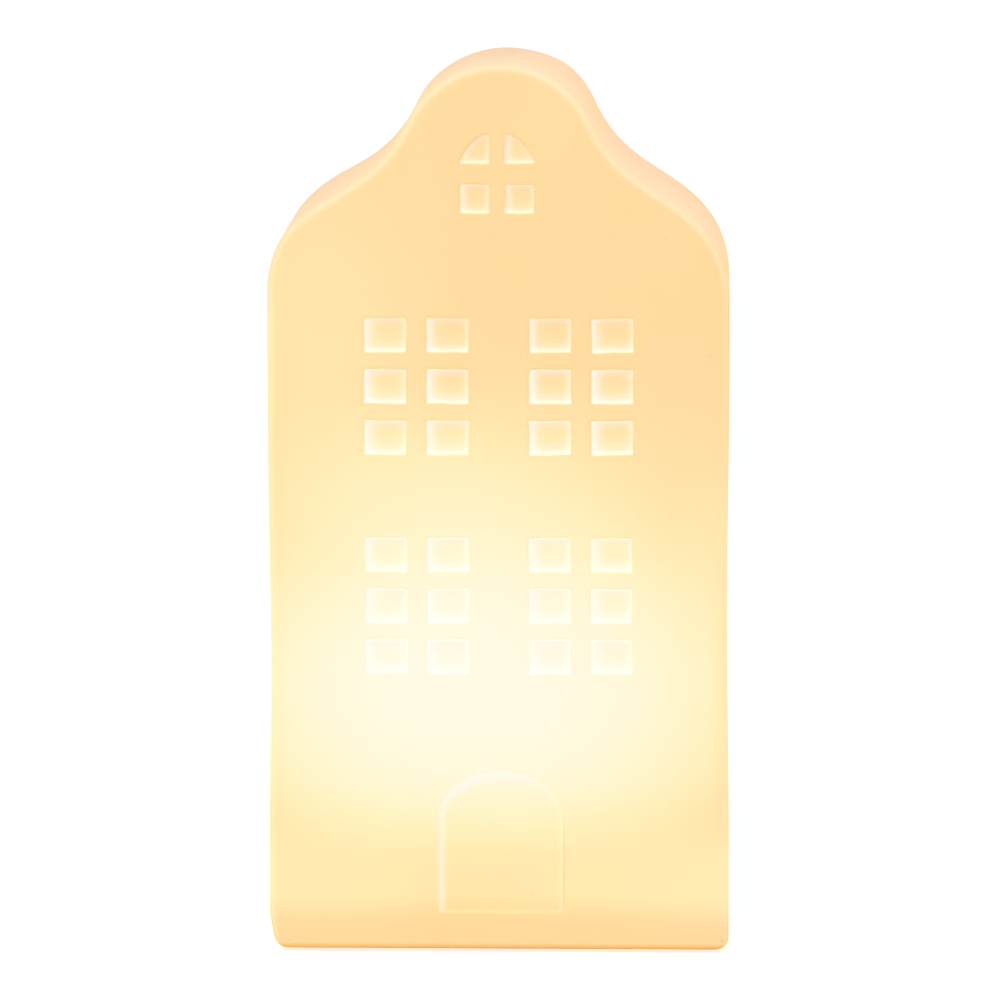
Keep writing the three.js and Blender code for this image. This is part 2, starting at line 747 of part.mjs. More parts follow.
export default nightLight;
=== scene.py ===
# %% [markdown]
# # A porcelain house with a lamp inside
#
# The object is a night light. A hollow house of thin, unglazed porcelain, cast in one piece, stands over a
# small battery lamp, which is pushed up through a round hole in the house's bottom. The porcelain lets the
# light through, so the whole house glows, most of all level with the lamp's dome.
#
# Everything here is dressed around a fixed frame of CAD solids. They say where each piece is, how big it is
# and what it moves with. Blender's part is the finish: the soft edges, the uneven cast walls, and the glow.

# %% Load the frame
import json

import bpy
import numpy as np
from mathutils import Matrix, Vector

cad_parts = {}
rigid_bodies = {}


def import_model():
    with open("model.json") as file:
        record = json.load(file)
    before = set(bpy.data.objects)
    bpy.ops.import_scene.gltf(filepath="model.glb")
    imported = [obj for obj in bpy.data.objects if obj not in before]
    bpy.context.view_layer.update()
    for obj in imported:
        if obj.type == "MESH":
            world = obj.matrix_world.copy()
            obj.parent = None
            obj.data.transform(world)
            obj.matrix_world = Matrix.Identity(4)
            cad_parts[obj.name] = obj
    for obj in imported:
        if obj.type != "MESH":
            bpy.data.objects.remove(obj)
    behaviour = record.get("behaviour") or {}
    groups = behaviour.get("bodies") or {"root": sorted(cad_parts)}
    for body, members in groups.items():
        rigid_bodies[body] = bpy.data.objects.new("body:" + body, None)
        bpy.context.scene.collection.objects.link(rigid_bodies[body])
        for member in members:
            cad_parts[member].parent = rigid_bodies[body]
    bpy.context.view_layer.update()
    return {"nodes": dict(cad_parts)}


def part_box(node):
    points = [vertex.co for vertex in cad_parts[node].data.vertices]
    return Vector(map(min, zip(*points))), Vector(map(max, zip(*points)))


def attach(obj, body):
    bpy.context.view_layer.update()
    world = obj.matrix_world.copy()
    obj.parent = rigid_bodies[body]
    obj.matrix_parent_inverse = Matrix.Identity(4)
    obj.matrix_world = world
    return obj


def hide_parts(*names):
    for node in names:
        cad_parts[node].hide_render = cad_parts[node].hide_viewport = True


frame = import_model()
mm = 0.001

# %% [markdown]
# ## Surfaces as grids of points
#
# Each new piece is made of patches. A patch is a grid of points with rows and columns, worked out by a
# formula as one numpy array. Patches that share an edge work it out in the same way, so welding joins them
# into one closed skin.

# %% Patches, a lathe, and welding patches into one mesh


def patch(points, flip=False, **marks):
    """One grid of points, rows by columns by x, y, z. Seen with its columns going right and its rows going
    up, its front faces the viewer, or its back where flip is true. Marks are numbers kept at each point."""
    return {"points": np.asarray(points, float), "flip": flip, "marks": marks}


def points_of(*axes):
    """Points from their x, y and z, or from two of these: numbers, or arrays whose shapes fit together."""
    return np.stack(np.broadcast_arrays(*axes), -1)


def spokes(angles):
    """Directions at some angles: the cosine and the sine."""
    return points_of(np.cos(angles), np.sin(angles))


def full_turn(columns):
    """Angles of a full turn in equal steps, the last of which is the first one again."""
    return 2 * np.pi * (np.arange(columns + 1) % columns) / columns


def unit_of(directions):
    """Directions, each divided by its length."""
    return directions / np.linalg.norm(directions, axis=-1, keepdims=True)


def right_of(directions):
    """Directions x, z or x, y after a quarter turn to the right."""
    return points_of(directions[:, 1], -directions[:, 0])


def between(start, end, shares):
    """Rows of points on the straight way from one row to another, at those shares of the way."""
    return start + np.reshape(shares, (-1, 1, 1)) * (end - start)


def border_of(grid):
    """The border of a grid as one loop: the first row, the last column, and back along the last row and the
    first column."""
    return np.concatenate([grid[0], grid[1:, -1], grid[-1, -2::-1], grid[-2::-1, 0]])


def turned(profile, centre=(0, 0), angles=None, columns=96, flip=False, **marks):
    """A lathe: each point of the profile, a radius and a height, goes round an upright axis, as the centre
    plus the radius times the cosine and sine. A profile that goes up on the outside faces outwards."""
    angles = full_turn(columns) if angles is None else angles
    radius, height = profile[:, :1], profile[:, 1:]
    return patch(points_of(centre[0] + radius * np.cos(angles), centre[1] + radius * np.sin(angles), height),
                 flip, **marks)


def quads(rows, columns, flip):
    """The four point numbers of each cell of a grid, counted anticlockwise, or clockwise where flip is
    true."""
    row, column = np.mgrid[0 : rows - 1, 0 : columns - 1]
    first = row * columns + column
    corners = np.stack([first, first + 1, first + columns + 1, first + columns], -1).reshape(-1, 4)
    return corners[:, ::-1] if flip else corners


def weld(patches):
    """Joins patches into points, faces and marks. Points that agree to a micron become one, and a cell that
    has lost a side to that, as at a pole, becomes a triangle."""
    names = sorted({name for piece in patches for name in piece["marks"]})
    grids = [piece["points"].shape[:2] for piece in patches]
    starts = np.cumsum([0] + [rows * columns for rows, columns in grids])
    points = np.concatenate([piece["points"].reshape(-1, 3) for piece in patches])
    faces = np.concatenate([quads(*grid, piece["flip"]) + start
                            for grid, piece, start in zip(grids, patches, starts)])
    marks = {name: np.concatenate([np.broadcast_to(piece["marks"].get(name, 0.0), grid).ravel()
                                   for grid, piece in zip(grids, patches)]) for name in names}
    _, first, number = np.unique(np.round(points / (0.001 * mm)).astype(np.int64), axis=0, return_index=True,
                                 return_inverse=True)
    faces = number.reshape(-1)[faces]
    side_kept = faces != np.roll(faces, -1, axis=1)
    whole = faces[side_kept.all(axis=1)]
    three = side_kept.sum(axis=1) == 3
    clipped = faces[three][side_kept[three]].reshape(-1, 3)
    return points[first], whole.tolist() + clipped.tolist(), {name: marks[name][first] for name in names}


def new_object(name, data):
    """An object in the scene that shows a mesh, a light or a camera."""
    made = bpy.data.objects.new(name, data)
    bpy.context.scene.collection.objects.link(made)
    return made


def new_piece(name, patches, body, replaces, material):
    """Makes a named object of welded patches, smooth all over, that rides on a body and stands for CAD
    nodes."""
    points, faces, marks = weld(patches)
    mesh = bpy.data.meshes.new(name)
    mesh.from_pydata(points.tolist(), [], faces)
    mesh.polygons.foreach_set("use_smooth", np.ones(len(faces), bool))
    for mark, values in marks.items():
        mesh.attributes.new(mark, "FLOAT", "POINT").data.foreach_set("value", values)
    mesh.materials.append(material)
    piece = new_object(name, mesh)
    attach(piece, body)
    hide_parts(*replaces)
    size = np.ptp(points, axis=0) / mm
    print(f"{name}: {len(points)} points, {len(faces)} faces,",
          f"{size[0]:.1f} x {size[1]:.1f} x {size[2]:.1f} mm")


def fade(low, high, value):
    """0 below low, 1 above high, and between them a smooth S, three times the square less twice the cube."""
    share = np.clip((value - low) / (high - low), 0, 1)
    return share * share * (3 - 2 * share)


def hill(distance, width):
    """A bell curve: 1 at no distance and 0.37 at one width."""
    return np.exp(-((distance / width) ** 2))


# %% [markdown]
# ## The outline of the house
#
# The front is a Dutch gable: straight sides, round shoulders, a neck that curves the other way, and a round
# crest. The shoulder and the crest are arcs of circles, and the neck is one cubic curve that leaves both of
# them without a kink. With every point the outline keeps the direction that faces outwards, because the soft
# edges, the wall's thickness and the finish all need it.

# %% Draw one side of the outline
low, high = (np.array(corner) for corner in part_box("house_shell"))
half_width, half_depth = (high[0] - low[0]) / 2, (high[1] - low[1]) / 2
foot, crest = low[2], high[2]

crest_radius = 27.2 * mm
crest_sweep = np.radians(64.5)
crest_handle = 17.8 * mm
shoulder_radius = 29 * mm
shoulder_height = crest - 63 * mm
shoulder_slope = np.radians(43)
shoulder_handle = 13.1 * mm
corner_radius = 3.5 * mm


def arc(centre, radius, start, end, steps=120):
    """Points and outward directions of an arc: the centre, plus the radius times the cosine and sine."""
    outward = spokes(np.linspace(start, end, steps))
    return np.array(centre) + radius * outward, outward


def cubic(start, leave, arrive, end, steps=200):
    """Points and outward directions of a cubic curve between two ends and their handles. The outward
    direction is the curve's own direction, turned a quarter turn to the right."""
    t = np.linspace(0, 1, steps)[:, None]
    points = (1 - t) ** 3 * start + 3 * (1 - t) ** 2 * t * leave + 3 * (1 - t) * t**2 * arrive + t**3 * end
    along = (1 - t) ** 2 * (leave - start) + 2 * (1 - t) * t * (arrive - leave) + t**2 * (end - arrive)
    return points, right_of(unit_of(along))


def along_from(outward):
    """The direction of travel up the right side, a quarter turn on from the one that faces outwards."""
    return np.array([-outward[1], outward[0]])


def house_side(inset, floor, corner):
    """The right side of the outline from floor to crest, moved in by inset: a foot corner, the straight
    side, the shoulder, the neck and the crest. Gives its points and outward directions, as x and z."""
    shoulder, shoulder_out = arc([half_width - shoulder_radius, shoulder_height], shoulder_radius, 0,
                                 np.pi / 2 - shoulder_slope)
    top, top_out = arc([0, crest - crest_radius], crest_radius, np.pi / 2 - crest_sweep, np.pi / 2, 400)
    neck, neck_out = cubic(shoulder[-1], shoulder[-1] + shoulder_handle * along_from(shoulder_out[-1]),
                           top[0] - crest_handle * along_from(top_out[0]), top[0])
    points = np.concatenate([shoulder, neck[1:-1], top])
    outward = np.concatenate([shoulder_out, neck_out[1:-1], top_out])
    points = points - inset * outward
    low_corner, low_out = arc([half_width - inset - corner, floor + corner], corner, -np.pi / 2, 0, 24)
    return np.concatenate([low_corner, points]), np.concatenate([low_out, outward])


side, side_outward = house_side(0, foot, corner_radius)
print("outline:", len(side), "points, widest at x =", round(side[:, 0].max() / mm, 2), "mm")

# %% [markdown]
# ## A grid that fits the front
#
# The front carries sharp little recesses, so it needs fine, straight grid lines along the edges of the
# panes. Rows run level from the foot up to where the crest's circle begins, and are then bent little by
# little into that circle, so that they never close up to a point. Columns stand upright in the middle, under
# the attic window, and share out what is left of the width beside it. A coarser grid of the same kind gives
# the inside its outline.

# %% Ruling lines, and a grid between them


def ruling(stations, edges=(), beside=(0.0,)):
    """Grid lines. Stations are pairs of a place and the widest gap allowed from there on; the last place is
    the end. Each edge has lines beside it, at those distances on both sides."""
    places = np.round([place for place, _ in stations], 8)
    widest = np.array([gap for _, gap in stations])
    offsets = np.array(beside)
    marks = np.add.outer(np.asarray(edges, float), np.concatenate([-offsets, offsets])).ravel()
    marks = np.unique(np.round(np.concatenate([places, marks]), 8))
    marks = marks[(marks >= places[0]) & (marks <= places[-1])]
    marks = marks[np.concatenate([[True], np.diff(marks) > 0.12 * mm])]
    marks[-1] = places[-1]
    gap = widest[np.clip(np.searchsorted(places, marks[:-1] + 1e-9) - 1, 0, None)]
    cuts = np.ceil(np.diff(marks) / gap - 1e-6).astype(int)
    lines = [np.linspace(a, b, n, endpoint=False) for a, b, n in zip(marks[:-1], marks[1:], cuts)]
    return np.concatenate(lines + [marks[-1:]])


upright = 11.6 * mm
cap_start = np.pi / 2 - crest_sweep
cap_end = np.radians(45)
cap_rows = 12


def house_rows(lines, edge):
    """Adds the bent rows of the crest to the level ones. Gives the height of each row's ends, and how far it
    has taken the crest's curve, from 0 to 1."""
    bend = np.linspace(0, 1, cap_rows + 1)
    angle = cap_start + bend * (cap_end - cap_start)
    ends = crest - crest_radius + (crest_radius - edge) * np.sin(angle)
    level = lines[lines < ends[0] - 0.2 * mm]
    return np.concatenate([level, ends]), np.concatenate([np.zeros(len(level)), bend])


def face_grid(outline, outward, edge, columns, rows, bend):
    """Points x, z of a face of the house, rows by columns, within the outline moved in by edge. It also
    gives the directions that face outwards at the ends of the rows, and along the top row."""
    inner = outline - edge * outward
    reach = np.interp(rows, inner[:, 1], inner[:, 0])
    end_out = unit_of(points_of(*(np.interp(rows, inner[:, 1], outward[:, k]) for k in (0, 1))))
    width = columns[-1]
    kept = np.minimum(upright, 0.55 * reach)[:, None]
    distance = np.abs(columns)[None, :]
    beyond = (distance - upright) / (width - upright)
    x = np.sign(columns) * np.where(distance <= upright, distance / upright * kept,
                                    kept + beyond * (reach[:, None] - kept))
    radius = inner[-1, 1] - (crest - crest_radius)
    sweep = np.arcsin(np.clip(reach / radius, 0, 1))[:, None]
    share = x / reach[:, None]
    bent = bend[:, None]
    z = rows[:, None] + bent * radius * (np.cos(share * sweep) - np.cos(sweep))
    x = x + bent * (radius * np.sin(share * sweep) - x)
    top_out = points_of(np.sin(share[-1] * sweep[-1]), np.cos(share[-1] * sweep[-1]))
    return points_of(x, z), end_out, top_out


# %% [markdown]
# ## Windows and door
#
# Under the attic window there are two windows on each of two floors, each of six panes, and below them an
# arched door. They were cut by hand into the master of the mould, about a millimetre deep, so no edge is
# quite straight. Each shape is described by its edges, and each edge by how far inside it a point lies and
# which way it faces. The least of the distances says how deep the surface is. All of them say how the light
# gathers along the edges, where the wall is thinner: wide and white along the left and the bottom, thin
# along the top and the right.

# %% Describe the recesses
recess_depth = 1.0 * mm
pane_width, pane_height = 11.0 * mm, 8.9 * mm
pane_pitch_x, pane_pitch_z = 16.7 * mm, 13.75 * mm
window_x = 22.1 * mm
window_heights = np.array([94.65, 153.8]) * mm
attic_pane = 7.4 * mm
attic_arc = 11.5 * mm
attic_edges = np.array([-2.75, 1.85]) * mm
attic_sill = 200.4 * mm
attic_quarter_sill = 213.7 * mm
door_half, door_middle = 16.65 * mm, 0.5 * mm
door_sill, door_spring, door_rise = 11.2 * mm, 37.2 * mm, 12.1 * mm

pane_x = np.add.outer([-window_x, window_x], [-pane_pitch_x / 2, pane_pitch_x / 2]).ravel()
pane_z = np.add.outer(window_heights, pane_pitch_z * np.arange(-1, 2)).ravel()


def hand_cut(along, seed):
    """How far a hand-cut edge strays from its line: two slow waves, whose phases come from the seed."""
    return 0.05 * mm * (np.sin(along / (2.3 * mm) + 2.1 * seed)
                        + 0.8 * np.sin(along / (1.1 * mm) + 5.3 * seed))


def pane_edges(x, z, cx, cz, width, height, seed):
    """Four edges of a pane: how far inside each the points lie, and the x and z of the way that it faces."""
    turn = 0.012 * np.sin(7.7 * seed)
    dx, dz = x - cx - turn * (z - cz), z - cz + turn * (x - cx)
    return [(dx + width / 2 + hand_cut(dz, seed), -1, 0),
            (width / 2 - dx + hand_cut(dz, seed + 1), 1, 0),
            (dz + height / 2 + hand_cut(dx, seed + 2), 0, -1),
            (height / 2 - dz + hand_cut(dx, seed + 3), 0, 1)]


def quarter_edges(x, z, corner_x, side_sign, seed):
    """Three edges of an attic pane under the arch: the upright one, the sill and the arc. The arc is flatter
    than a quarter circle round the pane's corner, so its centre lies beyond the corner and below it."""
    dx, dz = side_sign * (x - corner_x), z - attic_quarter_sill
    arc_x, arc_z = dx + 3.5 * mm, dz + 3.3 * mm
    reach = np.hypot(arc_x, arc_z) + 1e-9
    return [(dx + hand_cut(dz, seed), -side_sign, 0), (dz + hand_cut(dx, seed + 1), 0, -1),
            (attic_arc - reach + hand_cut(dx - dz, seed + 2), side_sign * arc_x / reach, arc_z / reach)]


def door_edges(x, z):
    """Two edges of the door: the sill, and one that runs up both sides and round the arch, half an
    ellipse."""
    x = x - door_middle
    lift = np.maximum(z - door_spring, 0)
    squash = door_half / door_rise
    reach = np.hypot(x, lift * squash)
    steep = np.hypot(x, lift * squash**2) / np.maximum(reach, 1e-9)
    inside = (door_half - reach) / np.maximum(steep, 1e-9)
    facing = np.hypot(x, lift * squash**2) + 1e-9
    return [(inside + 0.6 * hand_cut(z + x, 3), x / facing, lift * squash**2 / facing),
            (z - door_sill + hand_cut(x, 9), 0, -1)]


def press(edges, corner=0.45 * mm):
    """How far inside a shape its points lie: the least of the edges' distances, softened where two meet."""
    distance = edges[0][0]
    for other, _, _ in edges[1:]:
        near = np.clip(0.5 + 0.5 * (other - distance) / corner, 0, 1)
        distance = other + (distance - other) * near - corner * near * (1 - near)
    return distance


def gather(edges, share=1.0):
    """Light along the inside of the edges, which fades as exp(-(distance / reach) to the power of 1.5). It
    is wide and strong where an edge faces left or down. The bands are put over each other like layers of
    thin paper. Share makes them weaker and narrower, for the small panes high up."""
    dark = 1.0
    for distance, facing_x, facing_z in edges:
        reach = share * (1.45 - 0.35 * facing_x - 0.45 * facing_z) * mm
        strength = share * (0.66 - 0.22 * facing_x - 0.02 * facing_z)
        dark = dark * (1 - strength * np.exp(-(np.maximum(distance, 0) / reach) ** 1.5))
    return 1 - dark


def front_relief(x, z):
    """The front's depth below its face, the light gathered in its panes, and how bright they are: above 0
    inside, and below 0 just outside their edges, a ring of painted shade where the wall is at its thickest.
    The door's outline, most of all where it faces right, and its sill are darkened with painted shade."""
    depth, light, panes = np.zeros((3,) + x.shape)
    shapes = [(pane_edges(x, z, cx, cz, pane_width, pane_height, 3.1 * i + 1.7 * j),
               0.88 if cz == pane_z[-1] else 1.0)
              for i, cx in enumerate(pane_x) for j, cz in enumerate(pane_z)]
    for i, (edge_x, sign) in enumerate(zip(attic_edges, (-1, 1))):
        middle_x, middle_z = edge_x + sign * attic_pane / 2, attic_sill + attic_pane / 2
        shapes += [(pane_edges(x, z, middle_x, middle_z, attic_pane, attic_pane, 40 + i), 0.75),
                   (quarter_edges(x, z, edge_x, sign, 50 + i), 0.7)]
    for edges, share in shapes:
        inside = press(edges)
        depth = np.maximum(depth, recess_depth * fade(-0.30 * mm, 0.45 * mm, inside))
        within = fade(-0.25 * mm, 0.20 * mm, inside)
        light = np.maximum(light, within * gather(edges, share))
        # Inside a pane the glow is lifted; just outside its edge a ring of painted shade darkens it.
        panes = panes + 0.40 * within - 0.5 * hill(inside + 0.5 * mm, 0.35 * mm) * (1 - within)
    edges = door_edges(x, z)
    door = press(edges, 1.2 * mm)
    depth = np.maximum(depth, recess_depth * fade(-0.5 * mm, 0.7 * mm, door))
    # Painted shade along the door's outline, strongest where it faces right, and painted shade on its sill.
    shaded = 0.20 + 1.7 * np.clip(edges[0][1], 0, 1) ** 2 * fade(0, 1.5 * mm, edges[1][0])
    sill_shade = 0.9 * hill(edges[1][0] - 0.1 * mm, 0.5 * mm) * fade(0, 1 * mm, edges[0][0])
    return depth, light, panes - shaded * hill(door + 0.35 * mm, 0.28 * mm) - sill_shade


def door_light(x, z):
    """The soft rim of the door, a bell curve: strongest over the arch, weaker up the left side, and faint up
    the right side and along the sill."""
    (inside, facing_x, facing_z), (above_sill, _, _) = door_edges(x, z)
    right_side = np.clip(facing_x, 0, 1)
    width = (0.95 - 0.50 * right_side + 0.30 * np.clip(facing_z, 0, 1)) * mm
    rim = hill(inside - 0.65 * width, width) * (0.48 + 0.30 * facing_z - 0.28 * right_side * (1 + facing_z))
    sill = 0.04 * hill(above_sill - 0.1 * mm, 0.45 * mm) * fade(0, 1 * mm, inside)
    return np.maximum(rim * fade(-0.3 * mm, 0.6 * mm, above_sill), sill)


sample = np.array([[window_x + pane_pitch_x / 2, 0.0], [window_heights[1], 100 * mm]])
print("depth in a pane and on the wall:", np.round(front_relief(*sample)[0] / mm, 2), "mm")

# %% [markdown]
# ## Cast by hand
#
# Slip-cast walls dry and shrink unevenly. The long walls have pulled in a little half way up, the left foot
# corner is rounder, the left shoulder is fuller than the right one, and the back of the crest has sunk a
# little. These bends are added last, to every point inside and out, so that the wall keeps its thickness.
# They stay within the CAD box.

# %% Bend the walls a little


def hand_cast(points):
    """Moves points by the unevenness of the casting. Each side is pulled in by a bell curve of the height,
    with a slow taper on the right and a rounder foot on the left. Bell curves round a centre move the left
    shoulder, and, at the back only, the shoulder's top and the crest."""
    x, y, z = np.moveaxis(points, -1, 0)
    left = 0.60 * mm * hill(z - 84 * mm, 36 * mm) + 1.45 * mm * (1 - fade(0, 12 * mm, z))
    right = 0.34 * mm * fade(25 * mm, 110 * mm, z) + 0.46 * mm * hill(z - 92 * mm, 38 * mm)
    to_right = fade(-half_width, half_width, x)
    x_new = x * (1 - (left * (1 - to_right) + right * to_right) / half_width)
    backward = fade(-half_depth, half_depth, y)
    shoulder = hill(np.hypot(x + 53.6 * mm, z - 200.8 * mm), 14.2 * mm)
    shoulder_top = hill(np.hypot(x + 45 * mm, z - 202 * mm), 8 * mm) * backward
    crest_right = hill(np.hypot(x - 14 * mm, z - 236 * mm), 9 * mm) * backward
    z_new = z - 1.0 * mm * shoulder + 0.6 * mm * shoulder_top - 0.8 * mm * backward * fade(226 * mm, crest, z)
    x_new = np.maximum(x_new - 2.4 * mm * shoulder + 1.3 * mm * crest_right, -half_width)
    return points_of(x_new, y, z_new)


# %% [markdown]
# ## The shell
#
# The shell is one closed skin: the front, the soft edge round it, the side walls, the back with its soft
# edge, the bottom with its round hole, the wall of the hole, and the same again for the inside, three
# millimetres in. The bottom is a patch between two loops, the rectangle of the walls and the circle of the
# hole: each point of the rectangle looks straight at the hole's centre, and the circle takes its point from
# there.

# %% Build the shell's patches
wall = 3 * mm
bottom_wall = 4 * mm
edge_radius = 2.4 * mm
hole_radius = 32.0 * mm
hole_edge = 0.9 * mm
middle_low, middle_high = 40 * mm, 190 * mm
# Where the painted highlight lies round the soft front edge, in degrees, and how wide it is.
ridge_angle, ridge_spread = 36, 11

beside_pane = np.array([0.14, 0.42, 0.85, 1.7]) * mm
pane_sides = np.add.outer(pane_x, [-pane_width / 2, pane_width / 2]).ravel()
pane_levels = np.add.outer(pane_z, [-pane_height / 2, pane_height / 2]).ravel()
attic_levels = np.array([attic_sill, attic_sill + attic_pane, attic_quarter_sill])
face_half = half_width - edge_radius
columns = ruling([(-face_half, 1.8 * mm), (-17.6 * mm, 0.62 * mm), (17.6 * mm, 1.8 * mm), (face_half, 0)],
                 pane_sides, beside_pane)


def corner_rows(floor, corner, edge):
    """Heights of rows that divide a foot corner's quarter circle into equal angles."""
    return floor + corner - (corner - edge) * np.cos(np.linspace(0, np.pi / 2, 7))


low_rows = corner_rows(foot, corner_radius, edge_radius)
rows, bend = house_rows(np.concatenate([low_rows, ruling(
    [(low_rows[-1] + 1 * mm, 1.5 * mm), (33 * mm, 0.55 * mm), (50 * mm, 1.8 * mm), (213 * mm, 0.7 * mm),
     (crest - crest_radius + 12 * mm, 0)],
    np.concatenate([pane_levels, attic_levels, [door_sill]]), beside_pane)]), edge_radius)
print("front grid:", len(rows), "rows by", len(columns), "columns")


def loop_round(face, end_out, top_out):
    """The face's border as one loop, from the left foot along the bottom, up the right, over the top and
    down the left, with the directions that face outwards."""
    down = np.tile([[0.0, -1.0]], (face.shape[1], 1))
    left_out = end_out * [-1, 1]
    return border_of(face), np.concatenate([down, end_out[1:], top_out[-2::-1], left_out[-2::-1]])


def closing_patch(loop, y, flip, steps=6, **marks):
    """A flat face inside a loop: each point travels to the middle line, level where it can, and otherwise to
    the middle line's nearer end."""
    middle = points_of(0.0, np.clip(loop[:, 1], middle_low, middle_high))
    flat = between(loop, middle, np.linspace(0, 1, steps + 1))
    return patch(points_of(flat[..., 0], y, flat[..., 1]), flip, **marks)


def shell_skin(face_shape, edge, half, steps, inward, relief=None, hole_angles=None):
    """Patches of one skin of the shell, and the angles of its points round the hole. Steps are those of the
    soft edge and of the side wall. Inward turns the skin to look into the house. Relief gives depth and
    marks."""
    loop, loop_out = loop_round(*face_shape)
    columns_across = face_shape[0].shape[1]
    edge_steps, band_steps = steps
    if relief is None:
        front = closing_patch(loop, -half, inward)
    else:
        x, z = np.moveaxis(face_shape[0], -1, 0)
        depth, marks = relief(x, z)
        front = patch(points_of(x, depth - half, z), inward, **marks)
    back = closing_patch(loop, half, not inward, away=1.0)

    turn = np.linspace(0, np.pi / 2, edge_steps + 1)[:, None]
    rim_x, rim_z = (loop[:, k] + edge * np.sin(turn) * loop_out[:, k] for k in (0, 1))
    rim_y = -half + edge * (1 - np.cos(turn))
    # Marks for the finish: where the edge faces up or right, which gets painted light, and the ridge, which
    # gets a painted highlight.
    upward = np.clip(loop_out[:, 1], 0, 1)
    rightward = np.clip(loop_out[:, 0], 0, 1) * np.sqrt(upward)
    ridge = hill(np.degrees(turn) - ridge_angle, ridge_spread) * np.clip(1.0 + 2 * loop_out[:, 1], 0, 1)
    marks = {"top": np.sin(turn) * upward, "right": np.sin(turn) * rightward}
    front_edge = patch(points_of(rim_x, rim_y, rim_z), not inward, ridge=ridge,
                       away=np.sin(turn) * (1 - upward), **marks)
    back_edge = patch(points_of(rim_x, -rim_y, rim_z), inward, away=1 - np.sin(turn) * upward, **marks)

    full = loop + edge * loop_out
    band_y = np.linspace(-half + edge, half - edge, band_steps + 1)
    rising = slice(columns_across - 1, None)
    band = patch(points_of(full[rising, 0], band_y[:, None], full[rising, 1]), not inward,
                 away=1 - upward[rising], top=upward[rising], right=rightward[rising])

    bottom_x = full[:columns_across, 0]
    rectangle = np.concatenate([
        points_of(bottom_x, band_y[0]), points_of(bottom_x[-1], band_y[1:]),
        points_of(bottom_x[-2::-1], band_y[-1]), points_of(bottom_x[0], band_y[-2::-1])])
    angles = np.arctan2(rectangle[:, 1], rectangle[:, 0]) if hole_angles is None else hole_angles
    ring = between(rectangle, (hole_radius + hole_edge) * spokes(angles),
                   [0, 0.05, 0.15, 0.35, 0.6, 0.85, 1.0])
    bottom = patch(points_of(ring[..., 0], ring[..., 1], full[0, 1]), not inward, away=1.0)
    return [front, back, front_edge, back_edge, band, bottom], angles


def front_marks(x, z):
    """The front's relief, with its marks for the finish."""
    depth, light, panes = front_relief(x, z)
    return depth, {"pane_light": light, "pane": panes, "door_light": door_light(x, z)}


def hole_wall(angles, bottom, top):
    """The hole's wall, rounded at both ends by a quarter circle, from the bottom's ring to the inner
    floor's."""
    turn = np.linspace(0, np.pi / 2, 5)
    early, late = hole_edge * (1 - np.sin(turn)), hole_edge * (1 - np.cos(turn))
    radius = hole_radius + np.concatenate([early, late])
    height = np.concatenate([bottom + late, top - early])
    return turned(points_of(radius, height), angles=angles, flip=True, away=1.0)


outer_face = face_grid(side, side_outward, edge_radius, columns, rows, bend)
outer, hole_angles = shell_skin(outer_face, edge_radius, half_depth, (8, 16), False, front_marks)

inner_floor, inner_corner, inner_edge = foot + bottom_wall, 2 * mm, 1 * mm
inner_side, inner_outward = house_side(wall, inner_floor, inner_corner)
inner_low = corner_rows(inner_floor, inner_corner, inner_edge)
inner_rows, inner_bend = house_rows(
    np.concatenate([inner_low, ruling([(inner_low[-1] + 3 * mm, 6 * mm), (crest - 14 * mm, 0)])]),
    wall + inner_edge)
inner_columns = columns * (half_width - wall - inner_edge) / face_half
inner_face = face_grid(inner_side, inner_outward, inner_edge, inner_columns, inner_rows, inner_bend)
inner, _ = shell_skin(inner_face, inner_edge, half_depth - wall, (2, 16), True, None, hole_angles)

shell = outer + inner + [hole_wall(hole_angles, foot, inner_floor)]
for piece in shell:
    piece["points"] = hand_cast(piece["points"])
print("patches:", len(outer), "outside,", len(inner), "inside")

# %% [markdown]
# ## Building materials from nodes
#
# A finish is a small network: textures make masks, masks steer colours, roughness and bumps. Short helpers
# keep the networks readable: they add a node and fill its sockets, do a sum, mix two colours, map a range or
# bend the normal. What several finishes share, such as the fine grain of a moulded or cast surface, is a
# group with named sockets, built once and set to each material's own values.

# %% Helpers for nodes


def add_node(tree, kind, sockets=None, **settings):
    """Adds a node. Sockets are filled with a number, a colour, or the output of another node."""
    made = tree.nodes.new("ShaderNode" + kind)
    for name, value in settings.items():
        setattr(made, name, value)
    for socket, value in (sockets or {}).items():
        if isinstance(value, bpy.types.NodeSocket):
            tree.links.new(value, made.inputs[socket])
        else:
            made.inputs[socket].default_value = value
    return made


def sum_of(tree, operation, *values):
    """A sum of one, two or three values, such as ADD or MULTIPLY."""
    return add_node(tree, "Math", dict(enumerate(values)), operation=operation).outputs[0]


def blend_of(tree, factor, first, second, blend_type="MIX"):
    """Two colours mixed by a factor. A colour is red, green and blue, or the output of another node."""
    first, second = ((*colour, 1) if isinstance(colour, tuple) else colour for colour in (first, second))
    made = add_node(tree, "Mix", {0: factor, 6: first, 7: second}, data_type="RGBA", blend_type=blend_type)
    return made.outputs[2]


def band_of(tree, value, low, high, from_low=0.0, to_high=1.0):
    """Turns a value's range into another one, along a smooth S. The range may run backwards, from high to
    low."""
    made = add_node(tree, "MapRange", {"Value": value, "From Min": low, "From Max": high, "To Min": from_low,
                                       "To Max": to_high}, interpolation_type="SMOOTHSTEP")
    return made.outputs[0]


def bump_of(tree, height, strength, depth, **normal):
    """A normal tilted by a height whose depth is in millimetres. It can start from another Normal."""
    sockets = {"Height": height, "Strength": strength, "Distance": depth * mm, **normal}
    return add_node(tree, "Bump", sockets).outputs[0]


def axes_of(tree, place):
    """The x, y and z of a place."""
    return add_node(tree, "SeparateXYZ", {0: place}).outputs


